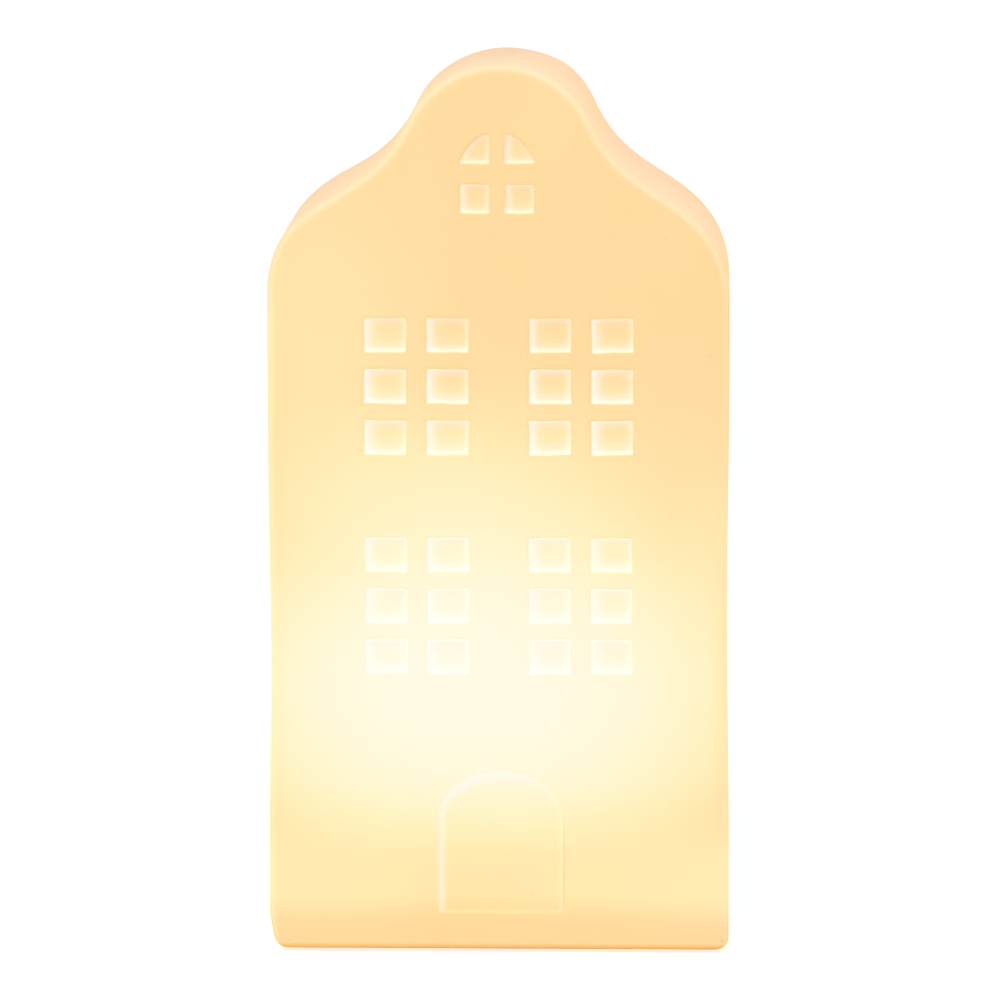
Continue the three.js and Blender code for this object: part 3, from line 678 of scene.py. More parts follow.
def mark(tree, name):
    """The numbers kept under a name at the mesh's points."""
    return add_node(tree, "Attribute", attribute_name=name).outputs["Fac"]


def feed(tree, node, **outputs):
    """Links outputs to a node's sockets. A socket's name has an underscore here where it has a space."""
    for socket, output in outputs.items():
        tree.links.new(output, node.inputs[socket.replace("_", " ")])


def ramp_of(tree, factor, stops):
    """A colour ramp: stops are pairs of a place and a colour of red, green and blue."""
    made = add_node(tree, "ValToRGB", {"Fac": factor})
    steps = made.color_ramp.elements
    while len(steps) < len(stops):
        steps.new(0.5)
    for step, (place, colour) in zip(steps, stops):
        step.position = place
        step.color = (*colour, 1)
    return made.outputs["Color"]


def new_group(name, inputs, outputs):
    """An empty shader group with named sockets. Gives the tree, its input node and its output node."""
    tree = bpy.data.node_groups.new(name, "ShaderNodeTree")
    for label, kind, value in inputs:
        socket = tree.interface.new_socket(label, in_out="INPUT", socket_type="NodeSocket" + kind)
        if value is not None:
            socket.default_value = value
    for label, kind in outputs:
        tree.interface.new_socket(label, in_out="OUTPUT", socket_type="NodeSocket" + kind)
    return tree, tree.nodes.new("NodeGroupInput"), tree.nodes.new("NodeGroupOutput")


def new_material(name, **constants):
    """A material with a Principled BSDF, whose constant sockets are set here, and the object's
    coordinates."""
    material = bpy.data.materials.new(name)
    material.use_nodes = True
    tree = material.node_tree
    shader = tree.nodes["Principled BSDF"]
    for socket, value in constants.items():
        shader.inputs[socket.replace("_", " ")].default_value = value
    place = add_node(tree, "TexCoord").outputs["Object"]
    return material, tree, shader, place


# %% [markdown]
# ## The grain of cast and moulded surfaces
#
# No surface here is mirror smooth. Bisque porcelain has a fine, sandy tooth and faint clouds from the
# plaster mould, and moulded plastic has softer ones. One group makes them all: a fine noise for the tooth, a
# slow one for the clouds, and small cells for the specks.

# %% Group: cast grain
cast_grain, grain_in, grain_out = new_group(
    "cast_grain",
    [("Place", "Vector", None), ("Tooth Scale", "Float", 900.0), ("Cloud Scale", "Float", 30.0),
     ("Speck Scale", "Float", 160.0)],
    [("Tooth", "Float"), ("Clouds", "Float"), ("Specks", "Float")])
at_place, tooth_scale, cloud_scale, speck_scale = grain_in.outputs[:4]
tooth = add_node(cast_grain, "TexNoise",
                 {"Vector": at_place, "Scale": tooth_scale, "Detail": 4.0, "Roughness": 0.65})
clouds = add_node(cast_grain, "TexNoise", {"Vector": at_place, "Scale": cloud_scale, "Detail": 3.0})
specks = add_node(cast_grain, "TexVoronoi", {"Vector": at_place, "Scale": speck_scale})
feed(cast_grain, grain_out, Tooth=tooth.outputs["Fac"], Clouds=clouds.outputs["Fac"],
     Specks=band_of(cast_grain, specks.outputs["Distance"], 0.10, 0.05))
print("group", cast_grain.name, "with", len(cast_grain.nodes), "nodes")


def grain_of(tree, place, tooth=900.0, clouds=30.0, specks=160.0):
    """The grain's masks, Tooth, Clouds and Specks, at a material's own scales."""
    return add_node(tree, "Group", {"Place": place, "Tooth Scale": tooth, "Cloud Scale": clouds,
                                    "Speck Scale": specks}, node_tree=cast_grain).outputs


# %% [markdown]
# ## How the lamp lights the porcelain
#
# The light comes from a small dome in the middle of the house, about 70 mm up. Light scattered through the
# wall by the renderer would be slow and grainy, and an exported model would lose it. So its strength is
# worked out from the place on the wall, and the finish turns strength into colour. Several things add up: a
# wide pool of light level with the dome, fainter ones above it and beside it, the shadow that the lamp's
# base casts low down, and the light that the floor throws back. Each pool is a bell curve, and the widest
# has a flat top, because white can't get whiter.

# %% Group: lamp light


def pool_of(tree, x, z, centre, reach, flatness, strength):
    """A pool of light: strength times exp(-(r squared) to the power of flatness), where r is the distance
    from the centre, counted in reaches across and upwards."""
    across = sum_of(tree, "DIVIDE", sum_of(tree, "SUBTRACT", x, centre[0] * mm), reach[0] * mm)
    upwards = sum_of(tree, "DIVIDE", sum_of(tree, "SUBTRACT", z, centre[1] * mm), reach[1] * mm)
    squares = sum_of(tree, "ADD", sum_of(tree, "MULTIPLY", across, across),
                     sum_of(tree, "MULTIPLY", upwards, upwards))
    falling = sum_of(tree, "MULTIPLY", sum_of(tree, "POWER", squares, flatness), -1.0)
    return sum_of(tree, "MULTIPLY", sum_of(tree, "EXPONENT", falling), strength)


def add_pools(tree, total, x, z, pools):
    """Adds pools of light to a total. Each is a centre, its reach across and upwards, a flatness and a
    strength."""
    for pool in pools:
        total = sum_of(tree, "ADD", total, pool_of(tree, x, z, *pool))
    return total


lamp_light, light_in, light_out = new_group(
    "lamp_light", [("Place", "Vector", None), ("Lift", "Float", 0.0)], [("Light", "Float")])
x, y, z = axes_of(lamp_light, light_in.outputs["Place"])
level_with_dome = [((-5.5, 71.5), (67.9, 41.6), 1.59, 0.80), ((-13.3, 125.0), (47.2, 20.3), 1.0, 0.27)]
base_shadow = [((-4.7, 25.3), (55.8, 11.8), 1.0, -0.276), ((0.0, 8.0), (38.0, 9.0), 1.0, -0.10)]
beside = [((-47.0, 168.0), (26.0, 36.0), 1.0, 0.09), ((62.0, 115.0), (13.0, 24.0), 1.0, 0.10)]

beside_x, beside_y = (sum_of(lamp_light, "SUBTRACT", half, sum_of(lamp_light, "ABSOLUTE", axis))
                      for half, axis in ((half_width, x), (half_depth, y)))
from_corner = sum_of(lamp_light, "MAXIMUM", beside_x, beside_y)
total = sum_of(lamp_light, "MULTIPLY", add_pools(lamp_light, 0.0, x, z, level_with_dome),
               band_of(lamp_light, from_corner, 0.0, 6.7 * mm, 0.61, 1.0))
total = sum_of(lamp_light, "MULTIPLY_ADD", band_of(lamp_light, z, 3.1 * mm, 18.5 * mm, 0.0, 0.236),
               band_of(lamp_light, z, 41.4 * mm, 22 * mm), total)
total = add_pools(lamp_light, total, x, z, base_shadow + beside)
everywhere = sum_of(lamp_light, "ADD", light_in.outputs["Lift"], 0.12)
feed(lamp_light, light_out, Light=sum_of(lamp_light, "ADD", total, everywhere))
print("group", lamp_light.name, "with", len(lamp_light.nodes), "nodes")

# %% [markdown]
# ## Bisque porcelain, lit from inside
#
# The finish adds the lamp's glow to a plain, warm, matt body. The glow runs from apricot where little light
# comes through to nearly white at the dome. Tints are then laid over it one by one: white along the edges of
# the panes and of the door, where the wall is thinnest, with a ring of painted shade just outside them, a
# painted yellowish highlight on the soft front edge, pink painted light on the top, where the light from
# above falls, paler painted light on the right side, painted shade low down and under the house, and an
# orange line of painted shade at the very foot, where the edge turns under, away from the light.
# A few small flaws of a hand-made piece come last: specks of iron in the clay, a scratch, a chip and a grain
# of dust.

# %% Material: the glow of the porcelain
glow_stops = [(0.06, (0.40, 0.220, 0.02)), (0.12, (0.40, 0.243, 0.045)), (0.25, (0.40, 0.332, 0.120)),
              (0.40, (0.40, 0.399, 0.197)), (0.57, (0.40, 0.436, 0.286)), (0.72, (0.41, 0.459, 0.36)),
              (0.88, (0.41, 0.477, 0.442)), (1.00, (0.42, 0.487, 0.50))]
rim_white = (0.62, 0.535, 0.62)

porcelain, tree, shader, place = new_material("porcelain", Roughness=0.62, Emission_Strength=1.0)
grain = grain_of(tree, place, 1100.0, 22.0, 150.0)
_, depth, height = axes_of(tree, place)
pane_light, pane, door_rim, ridge, top_mark, right_side_light, away = (
    mark(tree, name) for name in ("pane_light", "pane", "door_light", "ridge", "top", "right", "away"))

cloudy = sum_of(tree, "MULTIPLY_ADD", grain["Clouds"], 0.04, -0.02)
lift = sum_of(tree, "MULTIPLY_ADD", pane, 0.10, cloudy)
light = add_node(tree, "Group", {"Place": place, "Lift": lift}, node_tree=lamp_light)
glow = ramp_of(tree, light.outputs["Light"], glow_stops)

# Painted light on the top, where the light from above falls: pinker at the front, more orange towards the
# back.
backward = band_of(tree, depth, -half_depth, half_depth)
painted_top_light = blend_of(tree, backward, (0.28, 0.20, 0.12), (0.27, 0.13, 0.07))
# Painted shade under the house: its underside glows only dimly, and darkest of all along the front edge.
under_front = band_of(tree, depth, 2 * mm - half_depth, 9 * mm - half_depth)
underside = blend_of(tree, under_front, (0.10, 0.05, 0.02), (0.36, 0.24, 0.13))
# Painted shade at the very foot: an orange line where the edge turns under, away from the light.
foot_shade = band_of(tree, height, 2.8 * mm, 1.6 * mm)
# Painted shade low down: the glow turns darker and more orange towards the foot.
low_shade = band_of(tree, height, 3.5 * mm, 17 * mm, 0.55, 0.0)
turned_under = band_of(tree, height, 1.4 * mm, 0.9 * mm)
# The tints, in order: more glow on faces turned away from the front; the panes' glow and their ring of
# painted shade; white rims; painted shade low down; a painted highlight on the front edge; painted light on
# the top and on the right side; painted shade at the foot and under the house.
tints = [(away, (0.30, 0.10, 0.05), "ADD"), (pane, (0.45, 0.0, 0.0), "ADD"), (pane_light, rim_white, "MIX"),
         (door_rim, rim_white, "MIX"), (low_shade, (0.40, 0.20, 0.04), "MIX"),
         (sum_of(tree, "MULTIPLY", ridge, 0.55), (0.38, 0.37, 0.22), "MIX"),
         (top_mark, painted_top_light, "MIX"), (right_side_light, (0.30, 0.185, 0.145), "ADD"),
         (foot_shade, (0.32, 0.13, 0.0), "MIX"),
         (turned_under, underside, "MIX")]
print("tints over the glow:", len(tints))

# %% Material: the flaws and the body of the porcelain


def spot_of(tree, place, x, z, width, height, turn=0.0):
    """A soft spot on the front, 1 in its middle and 0 outside an ellipse, whose place, size and turn are
    given."""
    moved = add_node(tree, "Mapping", {
        "Vector": place, "Location": (x * mm, 0, z * mm), "Rotation": (0, turn, 0),
        "Scale": (width * mm, 1000.0, height * mm)}, vector_type="TEXTURE")
    distance = add_node(tree, "VectorMath", {0: moved.outputs[0]}, operation="LENGTH").outputs["Value"]
    return band_of(tree, distance, 1.0, 0.3)


flaws = {"iron": (0.7, (0.15, 0.05, 0.01), [(-56.4, 3.3, 0.5, 0.35), (60.2, 3.7, 0.6, 0.4)]),
         "scratch": (0.4, (0.34, 0.28, 0.10), [(19.2, 48.8, 0.14, 1.6, 0.5)]),
         "chip": (0.4, (0.34, 0.28, 0.10), [(19.4, 81.4, 0.3, 1.5, -0.25)]),
         "dust": (0.5, rim_white, [(44.6, 195.1, 0.35, 0.35)])}
for strength, colour, spots in flaws.values():
    tints += [(sum_of(tree, "MULTIPLY", spot_of(tree, place, *spot), strength), colour, "MIX")
              for spot in spots]
for share, colour, way in tints:
    glow = blend_of(tree, share, glow, colour, way)

bisque = blend_of(tree, grain["Clouds"], (0.78, 0.60, 0.38), (0.83, 0.65, 0.43))
# The body's colour is made more orange at the foot as well: painted shade.
bisque = blend_of(tree, sum_of(tree, "MULTIPLY", foot_shade, 0.6), bisque, (0.82, 0.52, 0.16))
bisque = blend_of(tree, sum_of(tree, "MULTIPLY", grain["Specks"], 0.12), bisque, (0.45, 0.33, 0.20))
feed(tree, shader, Emission_Color=glow, Base_Color=bisque, Normal=bump_of(tree, grain["Tooth"], 0.25, 0.05),
     Roughness=band_of(tree, grain["Tooth"], 0.3, 0.7, 0.56, 0.68))

new_piece("house_porcelain", shell, "house", ["house_shell"], porcelain)

# %% [markdown]
# ## Turned, bent and flat pieces
#
# Round pieces of the lamp are turned: a profile goes round an axis. Wires and springs are a round section
# that follows a path. Flat and boxy pieces are a loop, seen from above, that rises from one height to
# another. Their corners are softened first, because it is the soft edge that catches the light. A point is
# put just beyond each softened corner, so that the flats beside it stay flat under smooth shading.

# %% Soft lines, the tube and the plate


def soft_line(corners, radius, steps=4):
    """A line through corners. Each inner corner becomes a quadratic arc, (1 - t) squared times one arm plus
    t squared times the other, where an arm runs from the corner along its side for the radius, or 0.4 of a
    short side."""
    corners = np.asarray(corners, float)
    at, arms = corners[1:-1, None], []
    for other in (corners[:-2, None], corners[2:, None]):
        length = np.linalg.norm(other - at, axis=-1, keepdims=True)
        arms.append((other - at) / length * np.minimum(np.reshape(radius, (-1, 1, 1)), 0.4 * length))
    t = np.linspace(0, 1, steps + 1)[:, None]
    bends = np.concatenate([at + 1.25 * arms[0], at + (1 - t) ** 2 * arms[0] + t**2 * arms[1],
                            at + 1.25 * arms[1]], axis=1)
    return np.concatenate([corners[:1], bends.reshape(-1, corners.shape[1]), corners[-1:]])


def tube(path, radius, across, columns=14):
    """A round section carried along a path and closed by a pole at both ends. Across is a direction, or one
    at each point, that never lies along the path; it and the path give the two axes of the section."""
    along = unit_of(np.gradient(path, axis=0))
    side = unit_of(np.cross(along, across))
    angle = full_turn(columns)[:, None]
    section = np.cos(angle) * np.cross(side, along)[:, None] + np.sin(angle) * side[:, None]
    row = np.concatenate([[0, 0, 0], np.arange(1, len(path) - 1), [-1, -1, -1]])
    size = np.ones(len(row))
    size[[0, -1]], size[[1, -2]] = 0, 0.75
    push = np.zeros(len(row))
    push[2], push[-3] = 0.25, -0.25
    centre = path[row] + radius * push[:, None] * along[row]
    travelled = np.linalg.norm(np.diff(centre, axis=0, prepend=centre[:1]), axis=1).cumsum() / mm
    return patch(centre[:, None] + radius * size[:, None, None] * section[row], along=travelled[:, None])


def plate(loop, low, high, edge, bent=False):
    """A piece whose outline, seen from above, is an anticlockwise loop, from low to high. At both edges the
    loop moves in by a quarter circle. The faces are closed towards the loop's middle or, in a bent strip, by
    a ladder from each point to its partner on the strip's other side."""
    ring = loop[:-1]
    step = np.roll(ring, -1, axis=0) - np.roll(ring, 1, axis=0)
    outward = right_of(unit_of(step))
    outward = np.concatenate([outward, outward[:1]])
    turn = np.linspace(0, np.pi / 2, 5)
    inset, rise = edge * (1 - np.sin(turn)), edge * (1 - np.cos(turn))
    inset = np.concatenate([inset, [0, 0], inset[::-1]])[:, None, None]
    height = np.concatenate([low + rise, [low + 1.4 * edge, high - 1.4 * edge], high - rise[::-1]])
    side = loop - inset * outward
    wall_rows = points_of(side[..., 0], side[..., 1], height[:, None])
    patches = [patch(wall_rows)]
    for rim, flip in ((wall_rows[0], True), (wall_rows[-1], False)):
        half = len(loop) // 2 + 1
        if bent:
            patches.append(patch(between(rim[:half], rim[::-1][:half], [0, 0.12, 0.88, 1.0]), flip))
        else:
            patches.append(patch(between(rim, rim[:-1].mean(axis=0), [0, 0.08, 1.0]), flip))
    return patches


def rounded_box(low, high, corner, edge):
    """A box in millimetres, with the upright edges rounded by corner and the level ones by edge."""
    (x0, y0, z0), (x1, y1, z1) = np.array(low) * mm, np.array(high) * mm
    middle = (x0 + x1) / 2
    loop = soft_line([(middle, y0), (x1, y0), (x1, y1), (x0, y1), (x0, y0), (middle, y0)], corner * mm)
    return plate(loop, z0, z1, edge * mm)


def profile_of(corners, radius):
    """A softened profile from corners in millimetres."""
    return soft_line(np.array(corners) * mm, np.array(radius) * mm)


# %% [markdown]
# ## Plastics and rubbers
#
# The lamp's housing and cover are white plastic from a mould with a finely sparked skin. The base plate and
# the switch knob are black, the feet are black rubber, and the house's pads and the grip ring are soft,
# clear silicone. They differ in colour, gloss and in how coarse their skin is, so one recipe makes them all
# from the grain group. Where a piece is still the CAD solid, a bevel node softens its sharp edges: it tilts
# the normal near an edge.

# %% Materials: moulded plastics, silicone and rubber


def moulded(name, pale, deep, gloss, tooth=900.0, depth=0.05, dust=0.10, edge=0.0, **constants):
    """A moulded finish: two close tones in clouds, a little dust, and a toothed skin. Gloss is the range of
    the roughness; edge is the radius of the softened edges in millimetres."""
    material, tree, shader, place = new_material(name, **constants)
    grain = grain_of(tree, place, tooth, 45.0, 260.0)
    tone = blend_of(tree, band_of(tree, grain["Clouds"], 0.3, 0.7), deep, pale)
    tone = blend_of(tree, sum_of(tree, "MULTIPLY", grain["Specks"], dust), tone, (0.35, 0.32, 0.28))
    bevel = {"Normal": add_node(tree, "Bevel", {"Radius": edge * mm}, samples=4).outputs[0]} if edge else {}
    feed(tree, shader, Base_Color=tone, Normal=bump_of(tree, grain["Tooth"], 0.35, depth, **bevel),
         Roughness=band_of(tree, grain["Tooth"], 0.25, 0.75, *gloss))
    return material


white_look = (0.88, 0.865, 0.82), (0.84, 0.822, 0.772), (0.40, 0.52)
black_look = (0.045, 0.045, 0.048), (0.028, 0.028, 0.030), (0.45, 0.60)
white_plastic = moulded("white_plastic", *white_look)
white_cut = moulded("white_plastic_cut", *white_look, edge=0.35)
black_plastic = moulded("black_plastic", *black_look, 1300.0, 0.04)
black_cut = moulded("black_plastic_cut", *black_look, edge=0.2)
silicone = moulded("clear_silicone", (0.70, 0.68, 0.64), (0.62, 0.60, 0.56), (0.50, 0.68), 600.0, 0.06, 0.25,
                   Subsurface_Weight=0.25, Subsurface_Radius=(0.004, 0.003, 0.002), Subsurface_Scale=0.3)
rubber = moulded("black_rubber", (0.040, 0.040, 0.040), (0.024, 0.024, 0.025), (0.62, 0.80),
                 700.0, 0.08, 0.22)
red_sleeve = moulded("red_sleeve", (0.55, 0.045, 0.035), (0.42, 0.030, 0.024), (0.26, 0.40), 500.0, 0.03)
black_sleeve = moulded("black_sleeve", (0.022, 0.022, 0.023), (0.014, 0.014, 0.014), (0.26, 0.40),
                       500.0, 0.03)
print("moulded finishes made")

# %% [markdown]
# ## Metals
#
# The screws and the contacts are plated steel, with fine lines that run one way and a few rubbed places. The
# springs are drawn wire, whose bands follow each other along its length. Both take their streaks from a
# noise that is squeezed or stretched along one axis, and let the streaks steer tone and gloss.

# %% Materials: steel and drawn wire


def metal(name, pale, deep, gloss, squeeze, pattern=None):
    """A streaked metal. Squeeze scales the place, and the streaks run along the axis with the smallest
    scale. Where a mark is named as the pattern, the streaks follow that mark instead."""
    material, tree, shader, place = new_material(name, Metallic=1.0)
    if pattern:
        travelled = sum_of(tree, "MULTIPLY", mark(tree, pattern), squeeze)
        stretched = add_node(tree, "CombineXYZ", {"X": travelled, "Y": 0.3})
    else:
        stretched = add_node(tree, "Mapping", {"Vector": place, "Scale": squeeze})
    streaks = add_node(tree, "TexNoise",
                       {"Vector": stretched.outputs[0], "Scale": 1.0, "Detail": 3.0}).outputs["Fac"]
    clouds = grain_of(tree, place, clouds=120.0, specks=400.0)["Clouds"]
    worn = sum_of(tree, "MULTIPLY_ADD", clouds, 0.5, sum_of(tree, "MULTIPLY", streaks, 0.5))
    feed(tree, shader, Base_Color=blend_of(tree, band_of(tree, worn, 0.35, 0.65), deep, pale),
         Roughness=band_of(tree, worn, 0.3, 0.7, *gloss), Normal=bump_of(tree, streaks, 0.15, 0.02))
    return material


steel = metal("plated_steel", (0.68, 0.68, 0.67), (0.52, 0.52, 0.52), (0.22, 0.38), (250, 5000, 5000))
drawn_wire = metal("drawn_wire", (0.74, 0.74, 0.75), (0.50, 0.50, 0.52), (0.16, 0.32), 0.8, "along")
print("steel, and wire whose streaks follow its length")

# %% [markdown]
# ## Feet, pads, grip ring and base screws
#
# The house stands on four clear pads, and the lamp on four rubber feet, all of them discs with a rounded
# edge. The grip ring is a band of silicone in the groove between the housing and the base plate. Each base
# screw has a pan head with a cross, which is pressed into a small square grid. A ring of faces leads from
# the square to the round of the head, and the lathe takes over with columns at the same angles.

# %% Build the small base pieces


def disc(centre, low, high, radius, edge, sag=0.0):
    """A round pad: flat or slightly hollow underneath, with rounded edges."""
    return turned(profile_of([(0, low + sag), (0.55 * radius, low + sag), (0.7 * radius, low), (radius, low),
                              (radius, high), (0, high)], [0.4, 0.4, edge, 0.5 * edge]),
                  np.array(centre) * mm, columns=48)


for number, (x, y) in enumerate([(52, -30), (52, 30), (-52, 30), (-52, -30)], 1):
    node = min((f"house_pad_{n}" for n in range(1, 5)),
               key=lambda name: np.hypot(*(np.mean(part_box(name), axis=0)[:2] / mm - (x, y))))
    new_piece(f"clear_pad_{number}", [disc((x, y), 0, 0.8, 4, 0.3)], "house", [node], silicone)

for number in range(1, 5):
    x, y = np.mean(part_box(f"unit_foot_{number}"), axis=0)[:2] / mm
    new_piece(f"rubber_foot_{number}", [disc((x, y), 0, 1.6, 3.5, 0.5, 0.15)], "lamp_unit",
              [f"unit_foot_{number}"], rubber)

ring_profile = profile_of([(30.65, 2.6), (31.7, 2.6), (31.7, 3.9), (29.6, 3.9), (29.6, 2.6), (30.65, 2.6)],
                          0.4)
new_piece("grip_band", [turned(ring_profile, columns=128)], "lamp_unit", ["grip_ring"], silicone)


def cross_screw(centre, face, collar, tip, head_radius, shaft_radius):
    """A screw that points up, with a cross in the face of its head. The cross is two crossed bars, each deep
    where a point lies within half its width and half its length."""
    line = np.linspace(-0.7, 0.7, 41) * head_radius
    x, y = np.meshgrid(line, line)
    bars = [np.minimum(0.12 * head_radius - np.abs(a), 0.6 * head_radius - np.abs(b))
            for a, b in ((x, y), (y, x))]
    depth = 0.5 * mm * fade(-0.04 * mm, 0.12 * mm, np.maximum(*bars))
    square = points_of(x, y, face + depth)
    border = border_of(square)
    angles = np.arctan2(border[:, 1], border[:, 0])
    profile = soft_line([(0.9 * head_radius, face), (0.98 * head_radius, face + 0.12 * (collar - face)),
                         (head_radius, collar), (shaft_radius, collar), (shaft_radius, tip - shaft_radius),
                         (0, tip)], 0.3 * mm)
    circle = points_of(profile[0, 0] * np.cos(angles), profile[0, 0] * np.sin(angles), face)
    shift = np.array([*centre, 0])
    return [patch(square + shift, True), patch(between(border, circle, [0, 0.5, 1.0]) + shift),
            turned(profile, centre, angles)]


head_height, head_radius, shaft_radius = 1.2 * mm, 2.5 * mm, 1.25 * mm
for number in range(1, 5):
    low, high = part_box(f"base_screw_{number}")
    centre = (np.array(low)[:2] + np.array(high)[:2]) / 2
    patches = cross_screw(centre, low[2], low[2] + head_height, high[2], head_radius, shaft_radius)
    new_piece(f"pan_screw_{number}", patches, "lamp_unit", [f"base_screw_{number}"], steel)

# %% [markdown]
# ## The dome and the dish
#
# The dome spreads the light of three small lamps. It is thin, frosted plastic, half an ellipse on a short
# skirt, and stands in a shallow white dish. The frost hides all but three soft pools of light, which are
# worked out from the place of the lamps and fade to amber at the skirt, where less light arrives.

# %% Build the dome and the dish
dome_radius, dome_rise, dome_wall, dome_spring, dome_foot = 20, 16, 1.4, 67.7, 61.7
lamp_places = [(0, 7.5), (-6.495, -3.75), (6.495, -3.75)]

sweep = np.linspace(0, np.pi / 2, 25)
dome_inside, dome_outside = (
    points_of((dome_radius - inset) * np.sin(sweep), dome_spring + (dome_rise - inset) * np.cos(sweep)) * mm
    for inset in (dome_wall, 0))
dome_hollow = dome_radius - dome_wall
dome_rim = profile_of([(dome_hollow, dome_spring), (dome_hollow, dome_foot), (dome_radius, dome_foot),
                       (dome_radius, dome_spring)], 0.3)[1:-1]
dome_profile = np.concatenate([dome_inside, dome_rim, dome_outside[::-1]])

dome_frost, tree, shader, place = new_material("frosted_dome", Emission_Strength=1.0, IOR=1.49,
                                               Coat_Weight=0.15, Coat_Roughness=0.35)
grain = grain_of(tree, place, 1500.0, 60.0)
x, y, z = axes_of(tree, place)
cloudy = sum_of(tree, "MULTIPLY_ADD", grain["Clouds"], 0.06, -0.03)
light = sum_of(tree, "ADD", band_of(tree, z, 61 * mm, 76 * mm, 0.10, 0.62), cloudy)
light = add_pools(tree, light, x, y,
                  [((1.25 * px, 1.25 * py), (6.5, 6.5), 1.0, 0.30) for px, py in lamp_places])
dome_glow = ramp_of(tree, light, [(0.0, (0.30, 0.13, 0.03)), (0.3, (0.55, 0.31, 0.11)),
                                  (0.65, (0.74, 0.52, 0.26)), (1.0, (0.85, 0.72, 0.48))])
feed(tree, shader, Emission_Color=dome_glow, Normal=bump_of(tree, grain["Tooth"], 0.3, 0.03),
     Base_Color=blend_of(tree, grain["Clouds"], (0.70, 0.64, 0.52), (0.78, 0.72, 0.60)),
     Roughness=band_of(tree, grain["Tooth"], 0.3, 0.7, 0.42, 0.58))

new_piece("frosted_dome", [turned(dome_profile, columns=120)], "lamp_unit",
          ["diffuser_dome"], dome_frost)
dish_profile = profile_of([(0, 60.1), (21.5, 60.1), (21.5, 63.7), (20.2, 63.7), (20.2, 61.7), (0, 61.7)],
                          [0.7, 0.4, 0.3, 0.3])
new_piece("light_dish", [turned(dish_profile, columns=120)], "lamp_unit", ["reflector_dish"],
          white_plastic)

# %% [markdown]
# ## Cells, springs and contacts
#
# Three cells stand side by side, the middle one head down. Each is a steel can in a film, which is curled
# over the can's ends and leaves the two poles bare: dark green with a paler head and a fine line between
# them. Every point keeps its height above the cell's foot and its distance from the axis, so one finish fits
# all three cells, whichever way up they stand. The springs are cones of wire, closer wound at their ends,
# and the contacts are pressed plates.

# %% Material: the film of the cells
film, tree, shader, place = new_material("cell_film", Coat_Weight=0.4, Coat_Roughness=0.12)
height, reach = mark(tree, "height"), mark(tree, "reach")
clouds = grain_of(tree, place, 400.0, 90.0)["Clouds"]
blur, line_low, line_high, head_low, film_reach = 0.15, 30.6, 31.3, 31.8, 4.35
head = band_of(tree, height, head_low, head_low + 0.2)
line = sum_of(tree, "MULTIPLY", band_of(tree, height, line_low, line_low + blur),
              band_of(tree, height, line_high + blur, line_high))
bare = band_of(tree, reach, film_reach + blur, film_reach)
colour = blend_of(tree, clouds, (0.035, 0.105, 0.070), (0.055, 0.140, 0.095))
can = blend_of(tree, clouds, (0.50, 0.50, 0.50), (0.68, 0.68, 0.67))
for share, tone in ((head, (0.50, 0.49, 0.45)), (line, (0.62, 0.50, 0.26)), (bare, can)):
    colour = blend_of(tree, share, colour, tone)
printed_metal = sum_of(tree, "MULTIPLY", sum_of(tree, "ADD", head, line), 0.8)
feed(tree, shader, Base_Color=colour, Metallic=sum_of(tree, "MAXIMUM", bare, printed_metal),
     Roughness=band_of(tree, clouds, 0.3, 0.7, 0.20, 0.34), Normal=bump_of(tree, clouds, 0.2, 0.1))

# %% Build the cells, the springs and the contacts
cell_profile = profile_of([(0, 0), (4.3, 0), (4.45, 0.2), (4.6, 0), (5.25, 0), (5.25, 43.3), (4.5, 43.3),
                           (4.3, 43.0), (2.3, 43.0), (1.9, 43.1), (1.9, 44.5), (0, 44.5)],
                          [0.1, 0.1, 0.1, 0.4, 0.6, 0.2, 0.2, 0.3, 0.2, 0.5])
cell_x, cell_low, cell_turned_low, spring_low, spring_high = 11.5, 11.7, 51.0, 6.5, 56.2
spring_turns = 4

spring_turn = np.linspace(0, 1, spring_turns * 40 + 1)
spring_angle = spring_turns * 2 * np.pi * spring_turn
spring_radius = (3.6 - 1.3 * spring_turn) * mm
spring_rise = (0.25 + 4.5 * (0.5 * spring_turn + 0.5 * fade(0, 1, spring_turn))) * mm
radial = points_of(np.cos(spring_angle), np.sin(spring_angle), 0.0)
coil = spring_radius[:, None] * radial + spring_rise[:, None] * np.array([0, 0, 1])

for number, (x, head_down) in enumerate([(-cell_x, False), (0, True), (cell_x, False)], 1):
    marks = {"height": cell_profile[:, 1:] / mm, "reach": cell_profile[:, :1] / mm}
    if head_down:
        profile = (cell_profile * [1, -1] + [0, cell_turned_low * mm])[::-1]
        marks = {name: values[::-1] for name, values in marks.items()}
        path, across = coil * [1, -1, -1] + np.array([x, 0, spring_high]) * mm, radial * [1, -1, 1]
    else:
        profile = cell_profile + [0, cell_low * mm]
        path, across = coil + np.array([x, 0, spring_low]) * mm, radial
    new_piece(f"round_cell_{number}", [turned(profile, (x * mm, 0), columns=64, **marks)], "lamp_unit",
              [f"cell_{number}"], film)
    new_piece(f"cone_spring_{number}", [tube(path, 0.25 * mm, across)], "lamp_unit",
              [f"cell_spring_{number}"], drawn_wire)

for name in ("top_single", "top_bridge", "bottom_bridge", "bottom_single"):
    low, high = (np.array(corner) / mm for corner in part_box(f"contact_{name}"))
    new_piece(f"pressed_{name}", rounded_box(low, high, 1.2, 0.15), "lamp_unit",
              [f"contact_{name}"], steel)

# %% [markdown]
# ## Battery cover, switch knob and wires
#
# The cover is a bent strip: a back with a skirt on either side. Five ribs near its top give a fingernail
# something to pull on, and two fins inside keep the cells apart. The switch knob has three small ridges on
# its face. The wires leave the switch, pass through the wall of the cell bay, and one of them climbs to the
# lamp board.

